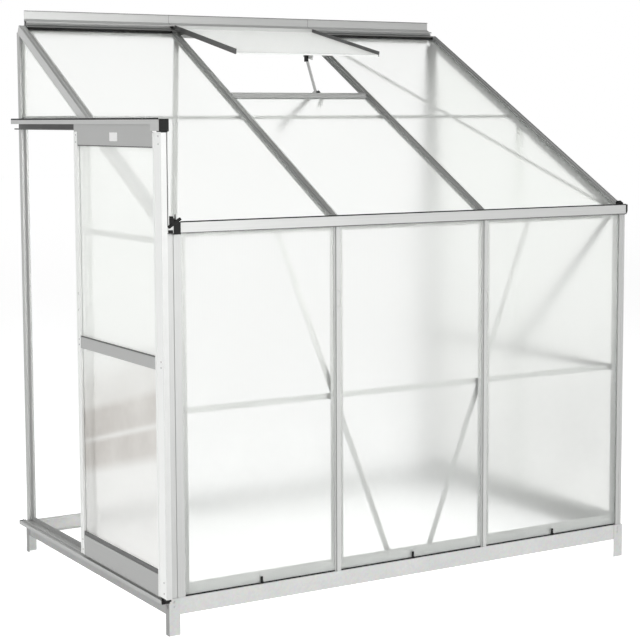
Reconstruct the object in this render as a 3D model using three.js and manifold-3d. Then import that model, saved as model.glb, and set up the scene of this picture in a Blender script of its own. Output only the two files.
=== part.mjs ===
// Lean-to greenhouse: an aluminium frame with twin-wall panels on a galvanised steel base,
// one sliding door in the left gable and one hinged vent in the roof. Its back is open and
// stands against a house wall. Millimetres, +X along the wall, +Y towards the wall, +Z up.
import * as THREE from 'three';
import { mergeVertices } from 'three/addons/utils/BufferGeometryUtils.js';
import Module from 'manifold-3d';

const wasm = await Module();
wasm.setup();

// Overall sizes, over the legs of the base
const LENGTH = 1920;
const DEPTH = 1270;

// Steel base: rails on four angle legs
const RAIL_BOTTOM = 68;
const RAIL_HEIGHT = 55;
const SHEET = 2;
const RAIL_TOP_FLANGE = 30;
const RAIL_BOTTOM_FLANGE = 15;
const LEG_FRONT_FLANGE = 40;
const LEG_SIDE_FLANGE = 25;
const BOLT_HEAD_RADIUS = 5;
const BOLT_HEAD_HEIGHT = 3;
const BOLT_FIRST_DROP = 13;
const BOLT_PITCH = 15;
const BOLT_FRONT_EDGE = 22;
const BOLT_SIDE_EDGE = 14;

// Heights of the roof line, which is the top of the rafters' noses
const EAVES_HEIGHT = 1336;
const RIDGE_HEIGHT = 2040;
const PLATE_RISE = 45;

// Aluminium profiles and the panels that they hold
const FRAME_INSET = 4;
const PANEL = 4;
const CLEAR = 0.3;
const EDGE_GAP = 1;
const NOSE_PROUD = 8;
const WALL = 2;
const BAR_NOSE = 14;
const BAR_SHOULDER = 26;
const BAR_FLANGE = 48;
const BAR_DEPTH = 30;
const BAR_WEB = 4;
const BAR_OFFSET = 310;
const SHOULDER_STEP = 1;
const FLANGE = 20;
const POST_NOSE_LEFT = 58;
const POST_NOSE_RIGHT = 26;
const POST_NOSE_GABLE = 30;
const POST_GROOVE = 3;
const WALL_POST_NOSE = 26;
const WALL_POST_LEG = 36;
const WALL_POST_SHEET = 3;
const RAFTER_NOSE_TOP = 26;
const RAFTER_NOSE_SIDE = 33;
const RAFTER_FLANGE = 16;
const RAFTER_FOOT = 16;
const ROOF_PANEL_FOOT = 6;

// Eaves gutter
const GUTTER_DROP = 25;
const GUTTER_RISE = 10;
const GUTTER_PROUD = 20;
const EAVES_SEAT = 15;
const SHELF_REACH = 35;
const GUTTER_CAP = 12;

// Wall plate along the house wall
const PLATE_DROP = 45;
const PLATE_LIP = 6;
const PLATE_FLAP = 45;
const RAFTER_END_GAP = 26;

// Sills
const SILL_HEIGHT = 42;
const SILL_FOOT = 23;

// Inner bars and braces
const GIRT_SHARE = 0.5;
const GIRT_WIDTH = 20;
const GIRT_THICK = 3;
const STRIP_THICK = 2;
const STRIP_WIDTH = 20;
const BRACE_TOP_OFFSET = 540;
const BRACE_FOOT_OFFSET = 77;
const PURLIN_SHARE = 0.5233;
const ROOF_BRACE_TOP_IN = 22;
const ROOF_BRACE_TOP_PAST = 66;
const ROOF_BRACE_INSET_LEFT = 65;
const ROOF_BRACE_INSET_RIGHT = 29;
const ROOF_BRACE_FOOT = 48;
const GABLE_RAIL_DROP = 56;
const GABLE_BRACE_START = 24;

// Doorway and sliding door in the left gable
const JAMB_CENTRE = 10;
const JAMB_NOSE = 26;
const HEADER_SHARE = 0.4318;
const TRACK_LAP = 4;
const TRACK_HEIGHT = 36;
const TRACK_PROUD = 34;
const TRACK_FRONT = 38;
const TRACK_BACK_GAP = 7;
const TRACK_RUNNER = 20;
const TRACK_RUNNER_EDGE = 3;
const TRACK_LIP = 15;
const TRACK_STOP = 63;
const SUPPORT_WIDTH = 46;
const SUPPORT_THICK = 3;
const SUPPORT_FRONT = 34;
const SUPPORT_RISE = 4;
const THRESHOLD_UPSTAND = 17;
const THRESHOLD_PROUD = 33;
const THRESHOLD_DROP = 11;
const GUIDE_RIB = 6;
const DOOR_WIDTH = 700;
const DOOR_FRONT = 41;
const DOOR_GAP = 10;
const DOOR_THICK = 20;
const DOOR_FOOT_GAP = 9;
const DOOR_HEAD_GAP = 5;
const STILE_BACK = 30;
const STILE_FRONT = 60;
const STILE_GRIP = 2;
const STILE_GRIP_WIDTH = 6;
const DOOR_TOP_RAIL = 45;
const DOOR_MID_RAIL = 39;
const DOOR_MID_SHARE = 0.495;
const DOOR_BOTTOM_RAIL = 71;
const PANEL_TUCK = 8;
const GROOVE_PLAY = 0.3;
const ROLLER_RADIUS = 11;
const ROLLER_WIDTH = 7;
const ROLLER_INSET = 82;
const AXLE_RADIUS = 3;
const HANGER_LAP = 4;
const GUIDE_LENGTH = 30;
const GUIDE_FINGER = 2.4;
const GUIDE_PLAY = 0.6;
const GUIDE_LIFT = 1;

// Roof vent, hinged in the wall plate and propped open by a stay
const VENT_OPEN = THREE.MathUtils.degToRad(16.8);
const VENT_LENGTH = 539;
const VENT_OVERLAP = 7;
const VENT_DEPTH = 20;
const VENT_LIFT = 1;
const VENT_RAIL = 4;
const VENT_LEDGE = 24;
const VENT_PANEL_DROP = 13;
const HINGE_BACK = 28;
const HINGE_RISE = 12;
const BEAD_RADIUS = 4.5;
const BEAD_PLAY = 0.7;
const HOOK_WALL = 2;
const NECK = 3;
const HOOK_SWING = THREE.MathUtils.degToRad(4);
const VENT_SILL_BACK = 552;
const VENT_SILL_BAR = 12;
const VENT_SILL_LIP = 17;
const STAY_PIVOT_BACK = 88;
const STAY_PIVOT_DROP = 14;
const STAY_TOP_OFFSET = 38;
const STAY_FOOT_OFFSET = 86;
const STAY_FOOT_IN = 22;
const STAY_WIDTH = 18;
const STAY_THICK = 3;
const STAY_TAIL = new THREE.Vector3(-80, 202, 67);
const STAY_PIN_RADIUS = 3;
const STAY_BOSS_RADIUS = 8;
const LUG_THICK = 3;
const BRACKET_WIDTH = 16;
const BRACKET_DROP = 60;
const PEG_RADIUS = 3;
const ROUND_SIDES = 16;
const OVERRUN = 50;

// Places worked out from the sizes
const BASE_TOP = RAIL_BOTTOM + RAIL_HEIGHT;
const FRONT_Y = -DEPTH / 2 + FRAME_INSET;
const BACK_Y = DEPTH / 2;
const GABLE_X = LENGTH / 2 - FRAME_INSET;
const SEAT = NOSE_PROUD + PANEL + CLEAR;
const BACK_V = BACK_Y - FRONT_Y;
const PITCH = Math.atan2(RIDGE_HEIGHT - EAVES_HEIGHT, BACK_V);
const COS = Math.cos(PITCH);
const SIN = Math.sin(PITCH);
const TAN = Math.tan(PITCH);
const ROOF_LENGTH = BACK_V / COS;
const RAFTER_END = ROOF_LENGTH - RAFTER_END_GAP;
const PLATE_TOP = RIDGE_HEIGHT + PLATE_RISE;
const PLATE_WEB_BOTTOM = RIDGE_HEIGHT - PLATE_DROP;
const GUTTER_BOTTOM = EAVES_HEIGHT - GUTTER_DROP;
const GUTTER_TOP = EAVES_HEIGHT + GUTTER_RISE;
const GIRT_HEIGHT = BASE_TOP + GIRT_SHARE * (EAVES_HEIGHT - BASE_TOP);
const GABLE_RAIL_HEIGHT = EAVES_HEIGHT - GABLE_RAIL_DROP;
const PURLIN_DISTANCE = PURLIN_SHARE * ROOF_LENGTH;
const HEADER_BOTTOM = EAVES_HEIGHT + HEADER_SHARE * (RIDGE_HEIGHT - EAVES_HEIGHT);
const TRACK_BOTTOM = HEADER_BOTTOM - TRACK_LAP;
const SHELF_DEPTH = SEAT + WALL + CLEAR;
const SEAT_BOTTOM = GUTTER_BOTTOM - EAVES_SEAT;
const FLAP_START = ROOF_LENGTH - PLATE_FLAP;
const HINGE_S = ROOF_LENGTH - HINGE_BACK;
const SILL_S = ROOF_LENGTH - VENT_SILL_BACK;
const TRACK_TOP = TRACK_BOTTOM + TRACK_HEIGHT;
const THRESHOLD_TOP = BASE_TOP + WALL;
const DOOR_BOTTOM = THRESHOLD_TOP + DOOR_FOOT_GAP;
const DOOR_TOP = TRACK_BOTTOM - DOOR_HEAD_GAP;
const DOOR_MID_HEIGHT = DOOR_BOTTOM + DOOR_MID_SHARE * (DOOR_TOP - DOOR_BOTTOM);
const BRACE_DEPTH = BAR_DEPTH + GIRT_THICK;

// Materials
const aluminium = new THREE.MeshStandardMaterial({ color: 0xc4c6c4, roughness: 0.42, metalness: 0.85 });
const steel = new THREE.MeshStandardMaterial({ color: 0xb9bab9, roughness: 0.5, metalness: 0.8 });
const twinWall = new THREE.MeshStandardMaterial({
  color: 0xf1f2f0, roughness: 0.35, metalness: 0, transparent: true, opacity: 0.6,
});
const plastic = new THREE.MeshStandardMaterial({ color: 0x1c1c1d, roughness: 0.55, metalness: 0 });

// A closed outline from a list of points
function outline(points) {
  return new THREE.Shape(points.map(([x, y]) => new THREE.Vector2(x, y)));
}

// Turns an extrusion so that its own X, Y and Z lie along the given axes
function turned(shape, length, xAxis, yAxis, zAxis) {
  const geometry = new THREE.ExtrudeGeometry(shape, { depth: length, bevelEnabled: false });
  const basis = new THREE.Matrix4().makeBasis(xAxis, yAxis, zAxis);
  return geometry.applyMatrix4(basis);
}

// A wall of the frame has u along it, v inwards from its outer plane and w up it
const U = new THREE.Vector3(1, 0, 0);
const V = new THREE.Vector3(0, 1, 0);
const W = new THREE.Vector3(0, 0, 1);

// Extrusions along each of a wall's directions, from one place to another
function alongW(points, from, to) {
  return turned(outline(points), to - from, U, V, W).translate(0, 0, from);
}

function alongU(points, from, to) {
  return turned(outline(points), to - from, V, W, U).translate(from, 0, 0);
}

function alongV(points, from, to) {
  return turned(outline(points.map(([u, w]) => [w, u])), to - from, W, U, V).translate(0, from, 0);
}

function block(low, high) {
  const size = high.map((value, i) => value - low[i]);
  const centre = high.map((value, i) => (value + low[i]) / 2);
  return new THREE.BoxGeometry(...size).translate(...centre);
}

// A cylinder with its axis along u
function rodAlongU(radius, from, to, v, w) {
  const geometry = new THREE.CylinderGeometry(radius, radius, to - from, ROUND_SIDES);
  return geometry.rotateZ(-Math.PI / 2).translate((from + to) / 2, v, w);
}

// A cylinder with its axis along v
function rodAlongV(radius, from, to, u, w) {
  const geometry = new THREE.CylinderGeometry(radius, radius, to - from, ROUND_SIDES);
  return geometry.translate(u, (from + to) / 2, w);
}

// Joins and cuts of closed meshes
function solidOf(geometry) {
  const bare = geometry.clone();
  bare.deleteAttribute('normal');
  bare.deleteAttribute('uv');
  const merged = mergeVertices(bare);
  return new wasm.Manifold(new wasm.Mesh({
    numProp: 3,
    vertProperties: new Float32Array(merged.attributes.position.array),
    triVerts: new Uint32Array(merged.index.array),
  }));
}

function geometryOf(solid) {
  const mesh = solid.getMesh();
  const geometry = new THREE.BufferGeometry();
  geometry.setAttribute('position', new THREE.BufferAttribute(mesh.vertProperties, 3));
  geometry.setIndex(new THREE.BufferAttribute(mesh.triVerts, 1));
  return geometry;
}

function cut(geometry, ...cutters) {
  return geometryOf(cutters.reduce((solid, cutter) => solid.subtract(solidOf(cutter)), solidOf(geometry)));
}

function joined(...geometries) {
  return geometryOf(geometries.map(solidOf).reduce((sum, solid) => sum.add(solid)));
}

function add(group, name, geometry, material) {
  const mesh = new THREE.Mesh(geometry, material);
  mesh.name = name;
  group.add(mesh);
  return mesh;
}

function wallGroup(parent, origin, uAxis, vAxis) {
  const group = new THREE.Group();
  const wAxis = new THREE.Vector3().crossVectors(uAxis, vAxis);
  group.setRotationFromMatrix(new THREE.Matrix4().makeBasis(uAxis, vAxis, wAxis));
  group.position.copy(origin);
  parent.add(group);
  return group;
}

const greenhouse = new THREE.Group();
const X = new THREE.Vector3(1, 0, 0);
const Y = new THREE.Vector3(0, 1, 0);
const ROOF_IN = new THREE.Vector3(0, SIN, -COS);
const base = wallGroup(greenhouse, new THREE.Vector3(), X, Y);
const front = wallGroup(greenhouse, new THREE.Vector3(0, FRONT_Y, 0), X, Y);
const right = wallGroup(greenhouse, new THREE.Vector3(GABLE_X, 0, 0), Y, X.clone().negate());
const left = wallGroup(greenhouse, new THREE.Vector3(-GABLE_X, 0, 0), Y.clone().negate(), X);
const roof = wallGroup(greenhouse, new THREE.Vector3(0, FRONT_Y, EAVES_HEIGHT), X, ROOF_IN);

// Height of the line that runs under the roof at a depth, at a distance y along the depth
function roofLine(y, depth) {
  return EAVES_HEIGHT + (y - FRONT_Y) * TAN - depth / COS;
}

// Place in the front wall's v and w of a point on the roof at s up the slope and rise above it
function roofPoint(s, rise) {
  return [s * COS - rise * SIN, EAVES_HEIGHT + s * SIN + rise * COS];
}

// Glazing bar: a nose between two panels, shoulders beside their edges, a flange and a web inside
function barProfile(centre, depth) {
  const half = [
    [BAR_NOSE / 2, 0],
    [BAR_NOSE / 2, NOSE_PROUD - SHOULDER_STEP],
    [BAR_SHOULDER / 2, NOSE_PROUD - SHOULDER_STEP],
    [BAR_SHOULDER / 2, SEAT],
    [BAR_FLANGE / 2, SEAT],
    [BAR_FLANGE / 2, SEAT + WALL],
    [BAR_WEB / 2, SEAT + WALL],
    [BAR_WEB / 2, depth],
  ];
  const mirrored = half.map(([u, v]) => [-u, v]).reverse();
  return [...half, ...mirrored].map(([u, v]) => [u + centre, v]);
}

// Corner profile with a nose and a flange on both of its faces and a square core as deep as given;
// su and sv say which way it turns. A groove runs down the middle of a wide nose.
function cornerProfile(u, v, su, sv, noseU, noseV, flange, core, groove) {
  const inner = SEAT + WALL;
  const middle = noseU / 2;
  const points = [
    [0, 0],
    [middle - POST_GROOVE / 2, 0],
    [middle, groove],
    [middle + POST_GROOVE / 2, 0],
    [noseU, 0],
    [noseU, SEAT],
    [noseU + flange, SEAT],
    [noseU + flange, inner],
    [core, inner],
    [core, core],
    [inner, core],
    [inner, noseV + flange],
    [SEAT, noseV + flange],
    [SEAT, noseV],
    [0, noseV],
  ];
  return points.map(([a, b]) => [u + su * a, v + sv * b]);
}

// Base rails: channels of bent sheet that lie between the legs' outer sheets
function railProfile(face, turn) {
  const points = [
    [0, RAIL_BOTTOM],
    [0, BASE_TOP],
    [RAIL_TOP_FLANGE, BASE_TOP],
    [RAIL_TOP_FLANGE, BASE_TOP - SHEET],
    [SHEET, BASE_TOP - SHEET],
    [SHEET, RAIL_BOTTOM + SHEET],
    [RAIL_BOTTOM_FLANGE, RAIL_BOTTOM + SHEET],
    [RAIL_BOTTOM_FLANGE, RAIL_BOTTOM],
  ];
  return points.map(([a, b]) => [face + turn * a, b]);
}

function makeBaseRails() {
  const faceX = LENGTH / 2 - SHEET;
  const faceY = DEPTH / 2 - SHEET;
  const endX = faceX - SHEET - CLEAR;
  add(base, 'base_rail_front', alongU(railProfile(-faceY, 1), -endX, endX), steel);
  add(base, 'base_rail_back', alongU(railProfile(faceY, -1), -endX, endX), steel);
  const flangeY = faceY - RAIL_TOP_FLANGE - CLEAR;
  for (const [name, side] of [['left', -1], ['right', 1]]) {
    const points = railProfile(side * faceX, -side);
    const channel = turned(outline(points), 2 * faceY, U, W, V.clone().negate()).translate(0, faceY, 0);
    const inner = side * endX;
    const deep = side * (faceX - RAIL_TOP_FLANGE - OVERRUN);
    const low = Math.min(inner, deep);
    const high = Math.max(inner, deep);
    const bottom = RAIL_BOTTOM - OVERRUN;
    const top = BASE_TOP + OVERRUN;
    add(base, `base_rail_${name}`, cut(
      channel,
      block([low, flangeY, bottom], [high, faceY + OVERRUN, top]),
      block([low, -faceY - OVERRUN, bottom], [high, -flangeY, top]),
    ), steel);
  }
}

// A leg is an unequal angle with two bolt heads on each face, none on those towards the house wall
function makeLeg(name, sx, sy) {
  const cornerX = LENGTH / 2;
  const cornerY = DEPTH / 2;
  const points = [
    [cornerX, cornerY],
    [cornerX - LEG_FRONT_FLANGE, cornerY],
    [cornerX - LEG_FRONT_FLANGE, cornerY - SHEET],
    [cornerX - SHEET, cornerY - SHEET],
    [cornerX - SHEET, cornerY - LEG_SIDE_FLANGE],
    [cornerX, cornerY - LEG_SIDE_FLANGE],
  ].map(([x, y]) => [sx * x, sy * y]);
  const pieces = [alongW(points, 0, BASE_TOP)];
  for (let i = 0; i < 2; i += 1) {
    const z = BASE_TOP - BOLT_FIRST_DROP - i * BOLT_PITCH;
    const facesY = [sy * (cornerY - SHEET / 2), sy * (cornerY + BOLT_HEAD_HEIGHT)].sort((a, b) => a - b);
    const facesX = [sx * (cornerX - SHEET / 2), sx * (cornerX + BOLT_HEAD_HEIGHT)].sort((a, b) => a - b);
    if (sy < 0) {
      pieces.push(rodAlongV(BOLT_HEAD_RADIUS, ...facesY, sx * (cornerX - BOLT_FRONT_EDGE), z));
    }
    pieces.push(rodAlongU(BOLT_HEAD_RADIUS, ...facesX, sy * (cornerY - BOLT_SIDE_EDGE), z));
  }
  add(base, name, joined(...pieces), steel);
}

function makeLegs() {
  makeLeg('base_leg_front_left', -1, -1);
  makeLeg('base_leg_front_right', 1, -1);
  makeLeg('base_leg_back_left', -1, 1);
  makeLeg('base_leg_back_right', 1, 1);
}

// Region of a wall above a line parallel to the roof, for cutting what stands under a rafter
function aboveRoof(depth, vFrom, vTo, yOfU, uFrom, uTo) {
  const top = PLATE_TOP + OVERRUN;
  const points = [
    [uFrom, roofLine(yOfU(uFrom), depth)],
    [uTo, roofLine(yOfU(uTo), depth)],
    [uTo, top],
    [uFrom, top],
  ];
  return alongV(points, vFrom, vTo);
}

// Space that the eaves profile takes above the front wall's bars and posts
function eavesSpace() {
  return block(
    [-LENGTH, SEAT - CLEAR, SEAT_BOTTOM - CLEAR],
    [LENGTH, BACK_V, EAVES_HEIGHT + OVERRUN],
  );
}

function makeCornerPosts() {
  const top = GUTTER_BOTTOM - CLEAR;
  const noses = [['left', -1, POST_NOSE_LEFT, WALL], ['right', 1, POST_NOSE_RIGHT, WALL]];
  for (const [name, side, nose, groove] of noses) {
    const points = cornerProfile(side * GABLE_X, 0, -side, 1, nose, POST_NOSE_GABLE, FLANGE, BAR_DEPTH, groove);
    const post = cut(alongW(points, BASE_TOP, top), eavesSpace());
    add(front, `corner_post_${name}`, post, aluminium);
  }
}

function makeWallPosts() {
  const gableLine = RAFTER_NOSE_SIDE + CLEAR;
  const flangeLine = RAFTER_NOSE_SIDE + RAFTER_FLANGE + CLEAR;
  const inner = SEAT + WALL;
  for (const [name, side] of [['left', -1], ['right', 1]]) {
    const points = [
      [0, 0],
      [WALL_POST_LEG, 0],
      [WALL_POST_LEG, WALL_POST_SHEET],
      [inner, WALL_POST_SHEET],
      [inner, WALL_POST_NOSE + FLANGE],
      [SEAT, WALL_POST_NOSE + FLANGE],
      [SEAT, WALL_POST_NOSE],
      [0, WALL_POST_NOSE],
    ].map(([a, b]) => [side * (GABLE_X - a), BACK_V - b]);
    const post = alongW(points, BASE_TOP, RIDGE_HEIGHT);
    const cutters = [[gableLine, GABLE_X - SEAT + CLEAR, GABLE_X + OVERRUN], [flangeLine, 0, GABLE_X - SEAT + CLEAR]];
    const slopes = cutters.map(([depth, from, to]) => {
      const lineFrom = BACK_V - OVERRUN - WALL_POST_NOSE;
      const lineTo = BACK_V + OVERRUN;
      const region = [
        [lineFrom, roofLine(lineFrom + FRONT_Y, depth)],
        [lineTo, roofLine(lineTo + FRONT_Y, depth)],
        [lineTo, PLATE_TOP + OVERRUN],
        [lineFrom, PLATE_TOP + OVERRUN],
      ];
      const [low, high] = [side * from, side * to].sort((a, b) => a - b);
      return alongU(region, low, high);
    });
    add(front, `wall_post_${name}`, cut(post, ...slopes), aluminium);
  }
}

// Sill behind the panels' lower edges: an angle with its foot on the base rail
function sillProfile() {
  return [
    [SEAT, BASE_TOP],
    [SEAT, BASE_TOP + SILL_HEIGHT],
    [SEAT + WALL, BASE_TOP + SILL_HEIGHT],
    [SEAT + WALL, BASE_TOP + WALL],
    [SEAT + SILL_FOOT, BASE_TOP + WALL],
    [SEAT + SILL_FOOT, BASE_TOP],
  ];
}

function sillSpace() {
  return block(
    [-LENGTH, SEAT - CLEAR, BASE_TOP - OVERRUN],
    [LENGTH, BACK_V, BASE_TOP + SILL_HEIGHT + CLEAR],
  );
}

function makeFrontWall() {
  const sillLeft = -GABLE_X + POST_NOSE_LEFT + FLANGE + CLEAR;
  const sillRight = GABLE_X - POST_NOSE_RIGHT - FLANGE - CLEAR;
  add(front, 'sill_front', alongU(sillProfile(), sillLeft, sillRight), aluminium);
  for (const [name, side] of [['left', -1], ['right', 1]]) {
    const bar = alongW(barProfile(side * BAR_OFFSET, BAR_DEPTH), BASE_TOP, GUTTER_BOTTOM - CLEAR);
    add(front, `front_bar_${name}`, cut(bar, eavesSpace(), sillSpace()), aluminium);
  }
  const top = roofLine(FRONT_Y + NOSE_PROUD, SHELF_DEPTH + WALL) - EDGE_GAP;
  const shoulder = BAR_OFFSET + BAR_SHOULDER / 2 + EDGE_GAP;
  const inside = BAR_OFFSET - BAR_SHOULDER / 2 - EDGE_GAP;
  const bays = [
    ['left', -GABLE_X + POST_NOSE_LEFT + EDGE_GAP, -shoulder],
    ['middle', -inside, inside],
    ['right', shoulder, GABLE_X - POST_NOSE_RIGHT - EDGE_GAP],
  ];
  for (const [name, from, to] of bays) {
    const low = [from, NOSE_PROUD, BASE_TOP + CLEAR];
    add(front, `front_panel_${name}`, block(low, [to, NOSE_PROUD + PANEL, top]), twinWall);
  }
}

// Flat bar that runs across a wall on the inner edges of the glazing bars
function girt(middle, from, to) {
  return block(
    [from, BAR_DEPTH, middle - GIRT_WIDTH / 2],
    [to, BAR_DEPTH + GIRT_THICK, middle + GIRT_WIDTH / 2],
  );
}

// Flat strip between two points of a wall with both of its ends cut level
function levelStrip(uTop, wTop, uFoot, wFoot) {
  const slant = Math.hypot(uTop - uFoot, wTop - wFoot) / Math.abs(wTop - wFoot);
  const half = STRIP_WIDTH / 2 * slant;
  return [[uTop - half, wTop], [uTop + half, wTop], [uFoot + half, wFoot], [uFoot - half, wFoot]];
}

function makeFrontBracing() {
  const end = GABLE_X - SEAT - WALL - CLEAR;
  add(front, 'front_girt', girt(GIRT_HEIGHT, -end, end), aluminium);
  const top = roofLine(FRONT_Y + BRACE_DEPTH, SHELF_DEPTH + WALL + CLEAR);
  const foot = BASE_TOP + WALL + CLEAR;
  for (const [name, side] of [['left', -1], ['right', 1]]) {
    const points = levelStrip(side * BRACE_TOP_OFFSET, top, side * BRACE_FOOT_OFFSET, foot);
    add(front, `front_brace_${name}`, alongV(points, BRACE_DEPTH, BRACE_DEPTH + STRIP_THICK), aluminium);
  }
}

// Eaves profile: rain gutter, lip over the panels' upper edges and sloping shelf for the rafters
function makeEaves() {
  const lip = NOSE_PROUD - CLEAR;
  const shelf = (v, drop) => roofLine(FRONT_Y + v, SHELF_DEPTH + drop);
  const points = [
    [-GUTTER_PROUD, GUTTER_TOP],
    [-GUTTER_PROUD + WALL, GUTTER_TOP],
    [-GUTTER_PROUD + WALL, GUTTER_BOTTOM + WALL],
    [lip - WALL, GUTTER_BOTTOM + WALL],
    [lip - WALL, shelf(lip - WALL, 0)],
    [SHELF_REACH, shelf(SHELF_REACH, 0)],
    [SHELF_REACH, shelf(SHELF_REACH, WALL)],
    [SEAT + WALL, shelf(SEAT + WALL, WALL)],
    [SEAT + WALL, SEAT_BOTTOM],
    [SEAT, SEAT_BOTTOM],
    [SEAT, shelf(SEAT, WALL)],
    [lip, shelf(lip, WALL)],
    [lip, GUTTER_BOTTOM],
    [-GUTTER_PROUD, GUTTER_BOTTOM],
  ];
  add(front, 'eaves_gutter', alongU(points, -GABLE_X, GABLE_X - GUTTER_CAP), aluminium);
}

// Wall plate: web on the house wall, flap over the roof's upper edge, shelf under the rafters and
// an open hook along its whole length in which the vent's bead turns
function makeWallPlate() {
  const end = GABLE_X - BAR_DEPTH - CLEAR;
  const webFace = BACK_V - WALL;
  const onWeb = (rise) => [webFace, roofLine(webFace + FRONT_Y, -rise)];
  const ring = BEAD_RADIUS + BEAD_PLAY;
  const neckHalf = Math.asin((NECK / 2 + BEAD_PLAY) / ring);
  const mouthLow = Math.PI + neckHalf + HOOK_SWING;
  const mouthHigh = Math.PI - VENT_OPEN - neckHalf - HOOK_SWING;
  const bridge = Math.asin(HOOK_WALL / 2 / (ring + HOOK_WALL));
  const ringPoint = (radius, angle) => roofPoint(
    HINGE_S + radius * Math.cos(angle),
    HINGE_RISE + radius * Math.sin(angle),
  );
  const arc = (radius, from, to, steps) => Array.from(
    { length: steps + 1 },
    (_, i) => ringPoint(radius, from + (to - from) * i / steps),
  );
  const outer = ring + HOOK_WALL;
  const lowTurn = mouthLow - 2 * Math.PI;
  const points = [
    [BACK_V - PLATE_LIP, PLATE_TOP],
    [BACK_V, PLATE_TOP],
    [BACK_V, PLATE_WEB_BOTTOM],
    [webFace, PLATE_WEB_BOTTOM],
    onWeb(-SHELF_DEPTH - WALL),
    roofPoint(FLAP_START, -SHELF_DEPTH - WALL),
    roofPoint(FLAP_START, -SHELF_DEPTH),
    onWeb(-SHELF_DEPTH),
    onWeb(CLEAR),
    roofPoint(FLAP_START, CLEAR),
    roofPoint(FLAP_START, CLEAR + WALL),
    onWeb(CLEAR + WALL),
    onWeb(HINGE_RISE - HOOK_WALL / 2),
    ...arc(outer, -bridge, lowTurn, ROUND_SIDES / 2),
    ...arc(ring, lowTurn, mouthHigh, ROUND_SIDES),
    ...arc(outer, mouthHigh, bridge, ROUND_SIDES / 2),
    onWeb(HINGE_RISE + HOOK_WALL / 2),
    [webFace, PLATE_TOP - WALL],
    [BACK_V - PLATE_LIP, PLATE_TOP - WALL],
  ];
  add(front, 'wall_plate', alongU(points, -end, end), aluminium);
}

function makeRafters() {
  const upperShelf = block([-LENGTH, SEAT + WALL, FLAP_START - CLEAR], [LENGTH, BACK_V, ROOF_LENGTH + OVERRUN]);
  const lowEnd = (SHELF_REACH + CLEAR) / COS;
  const lowerShelf = block([-LENGTH, SEAT + WALL, -OVERRUN], [LENGTH, BACK_V, lowEnd]);
  const houseWall = alongU([
    [-OVERRUN, ROOF_LENGTH + OVERRUN * TAN],
    [OVERRUN, ROOF_LENGTH - OVERRUN * TAN],
    [OVERRUN, ROOF_LENGTH + OVERRUN],
    [-OVERRUN, ROOF_LENGTH + OVERRUN],
  ], -LENGTH, LENGTH);
  for (const [name, side] of [['left', -1], ['right', 1]]) {
    const inner = alongW(barProfile(side * BAR_OFFSET, BAR_DEPTH), RAFTER_FOOT, RAFTER_END);
    add(roof, `rafter_middle_${name}`, cut(inner, upperShelf, lowerShelf), aluminium);
    const nose = RAFTER_NOSE_TOP;
    const faces = [side * GABLE_X, 0, -side, 1, nose, RAFTER_NOSE_SIDE];
    const corner = cornerProfile(...faces, RAFTER_FLANGE, BAR_DEPTH, WALL);
    const outer = alongW(corner, RAFTER_FOOT, RAFTER_END);
    add(roof, `rafter_gable_${name}`, cut(outer, lowerShelf, houseWall), aluminium);
  }
}

function makeRoofPanels() {
  const outside = GABLE_X - RAFTER_NOSE_TOP - EDGE_GAP;
  const shoulder = BAR_OFFSET + BAR_SHOULDER / 2 + EDGE_GAP;
  const inside = BAR_OFFSET - BAR_SHOULDER / 2 - EDGE_GAP;
  const bays = [
    ['left', -outside, -shoulder, RAFTER_END],
    ['middle', -inside, inside, SILL_S - VENT_SILL_BAR - EDGE_GAP],
    ['right', shoulder, outside, RAFTER_END],
  ];
  for (const [name, from, to, end] of bays) {
    const low = [from, NOSE_PROUD, ROOF_PANEL_FOOT];
    add(roof, `roof_panel_${name}`, block(low, [to, NOSE_PROUD + PANEL, end]), twinWall);
  }
}

function makeRoofBracing() {
  const end = GABLE_X - SEAT - WALL - CLEAR;
  add(roof, 'purlin', girt(PURLIN_DISTANCE, -end, end), aluminium);
  const top = (BACK_V - WALL - CLEAR - (BRACE_DEPTH + STRIP_THICK) * SIN) / COS;
  const braces = [
    ['left', ROOF_BRACE_TOP_IN - BAR_OFFSET, ROOF_BRACE_INSET_LEFT - LENGTH / 2],
    ['right', BAR_OFFSET + ROOF_BRACE_TOP_PAST, LENGTH / 2 - ROOF_BRACE_INSET_RIGHT],
  ];
  for (const [name, uTop, uFoot] of braces) {
    const points = levelStrip(uTop, top, uFoot, ROOF_BRACE_FOOT);
    const tips = points.map(([u, w]) => [Math.max(-end, Math.min(end, u)), w]);
    add(roof, `roof_brace_${name}`, alongV(tips, BRACE_DEPTH, BRACE_DEPTH + STRIP_THICK), aluminium);
  }
}

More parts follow.
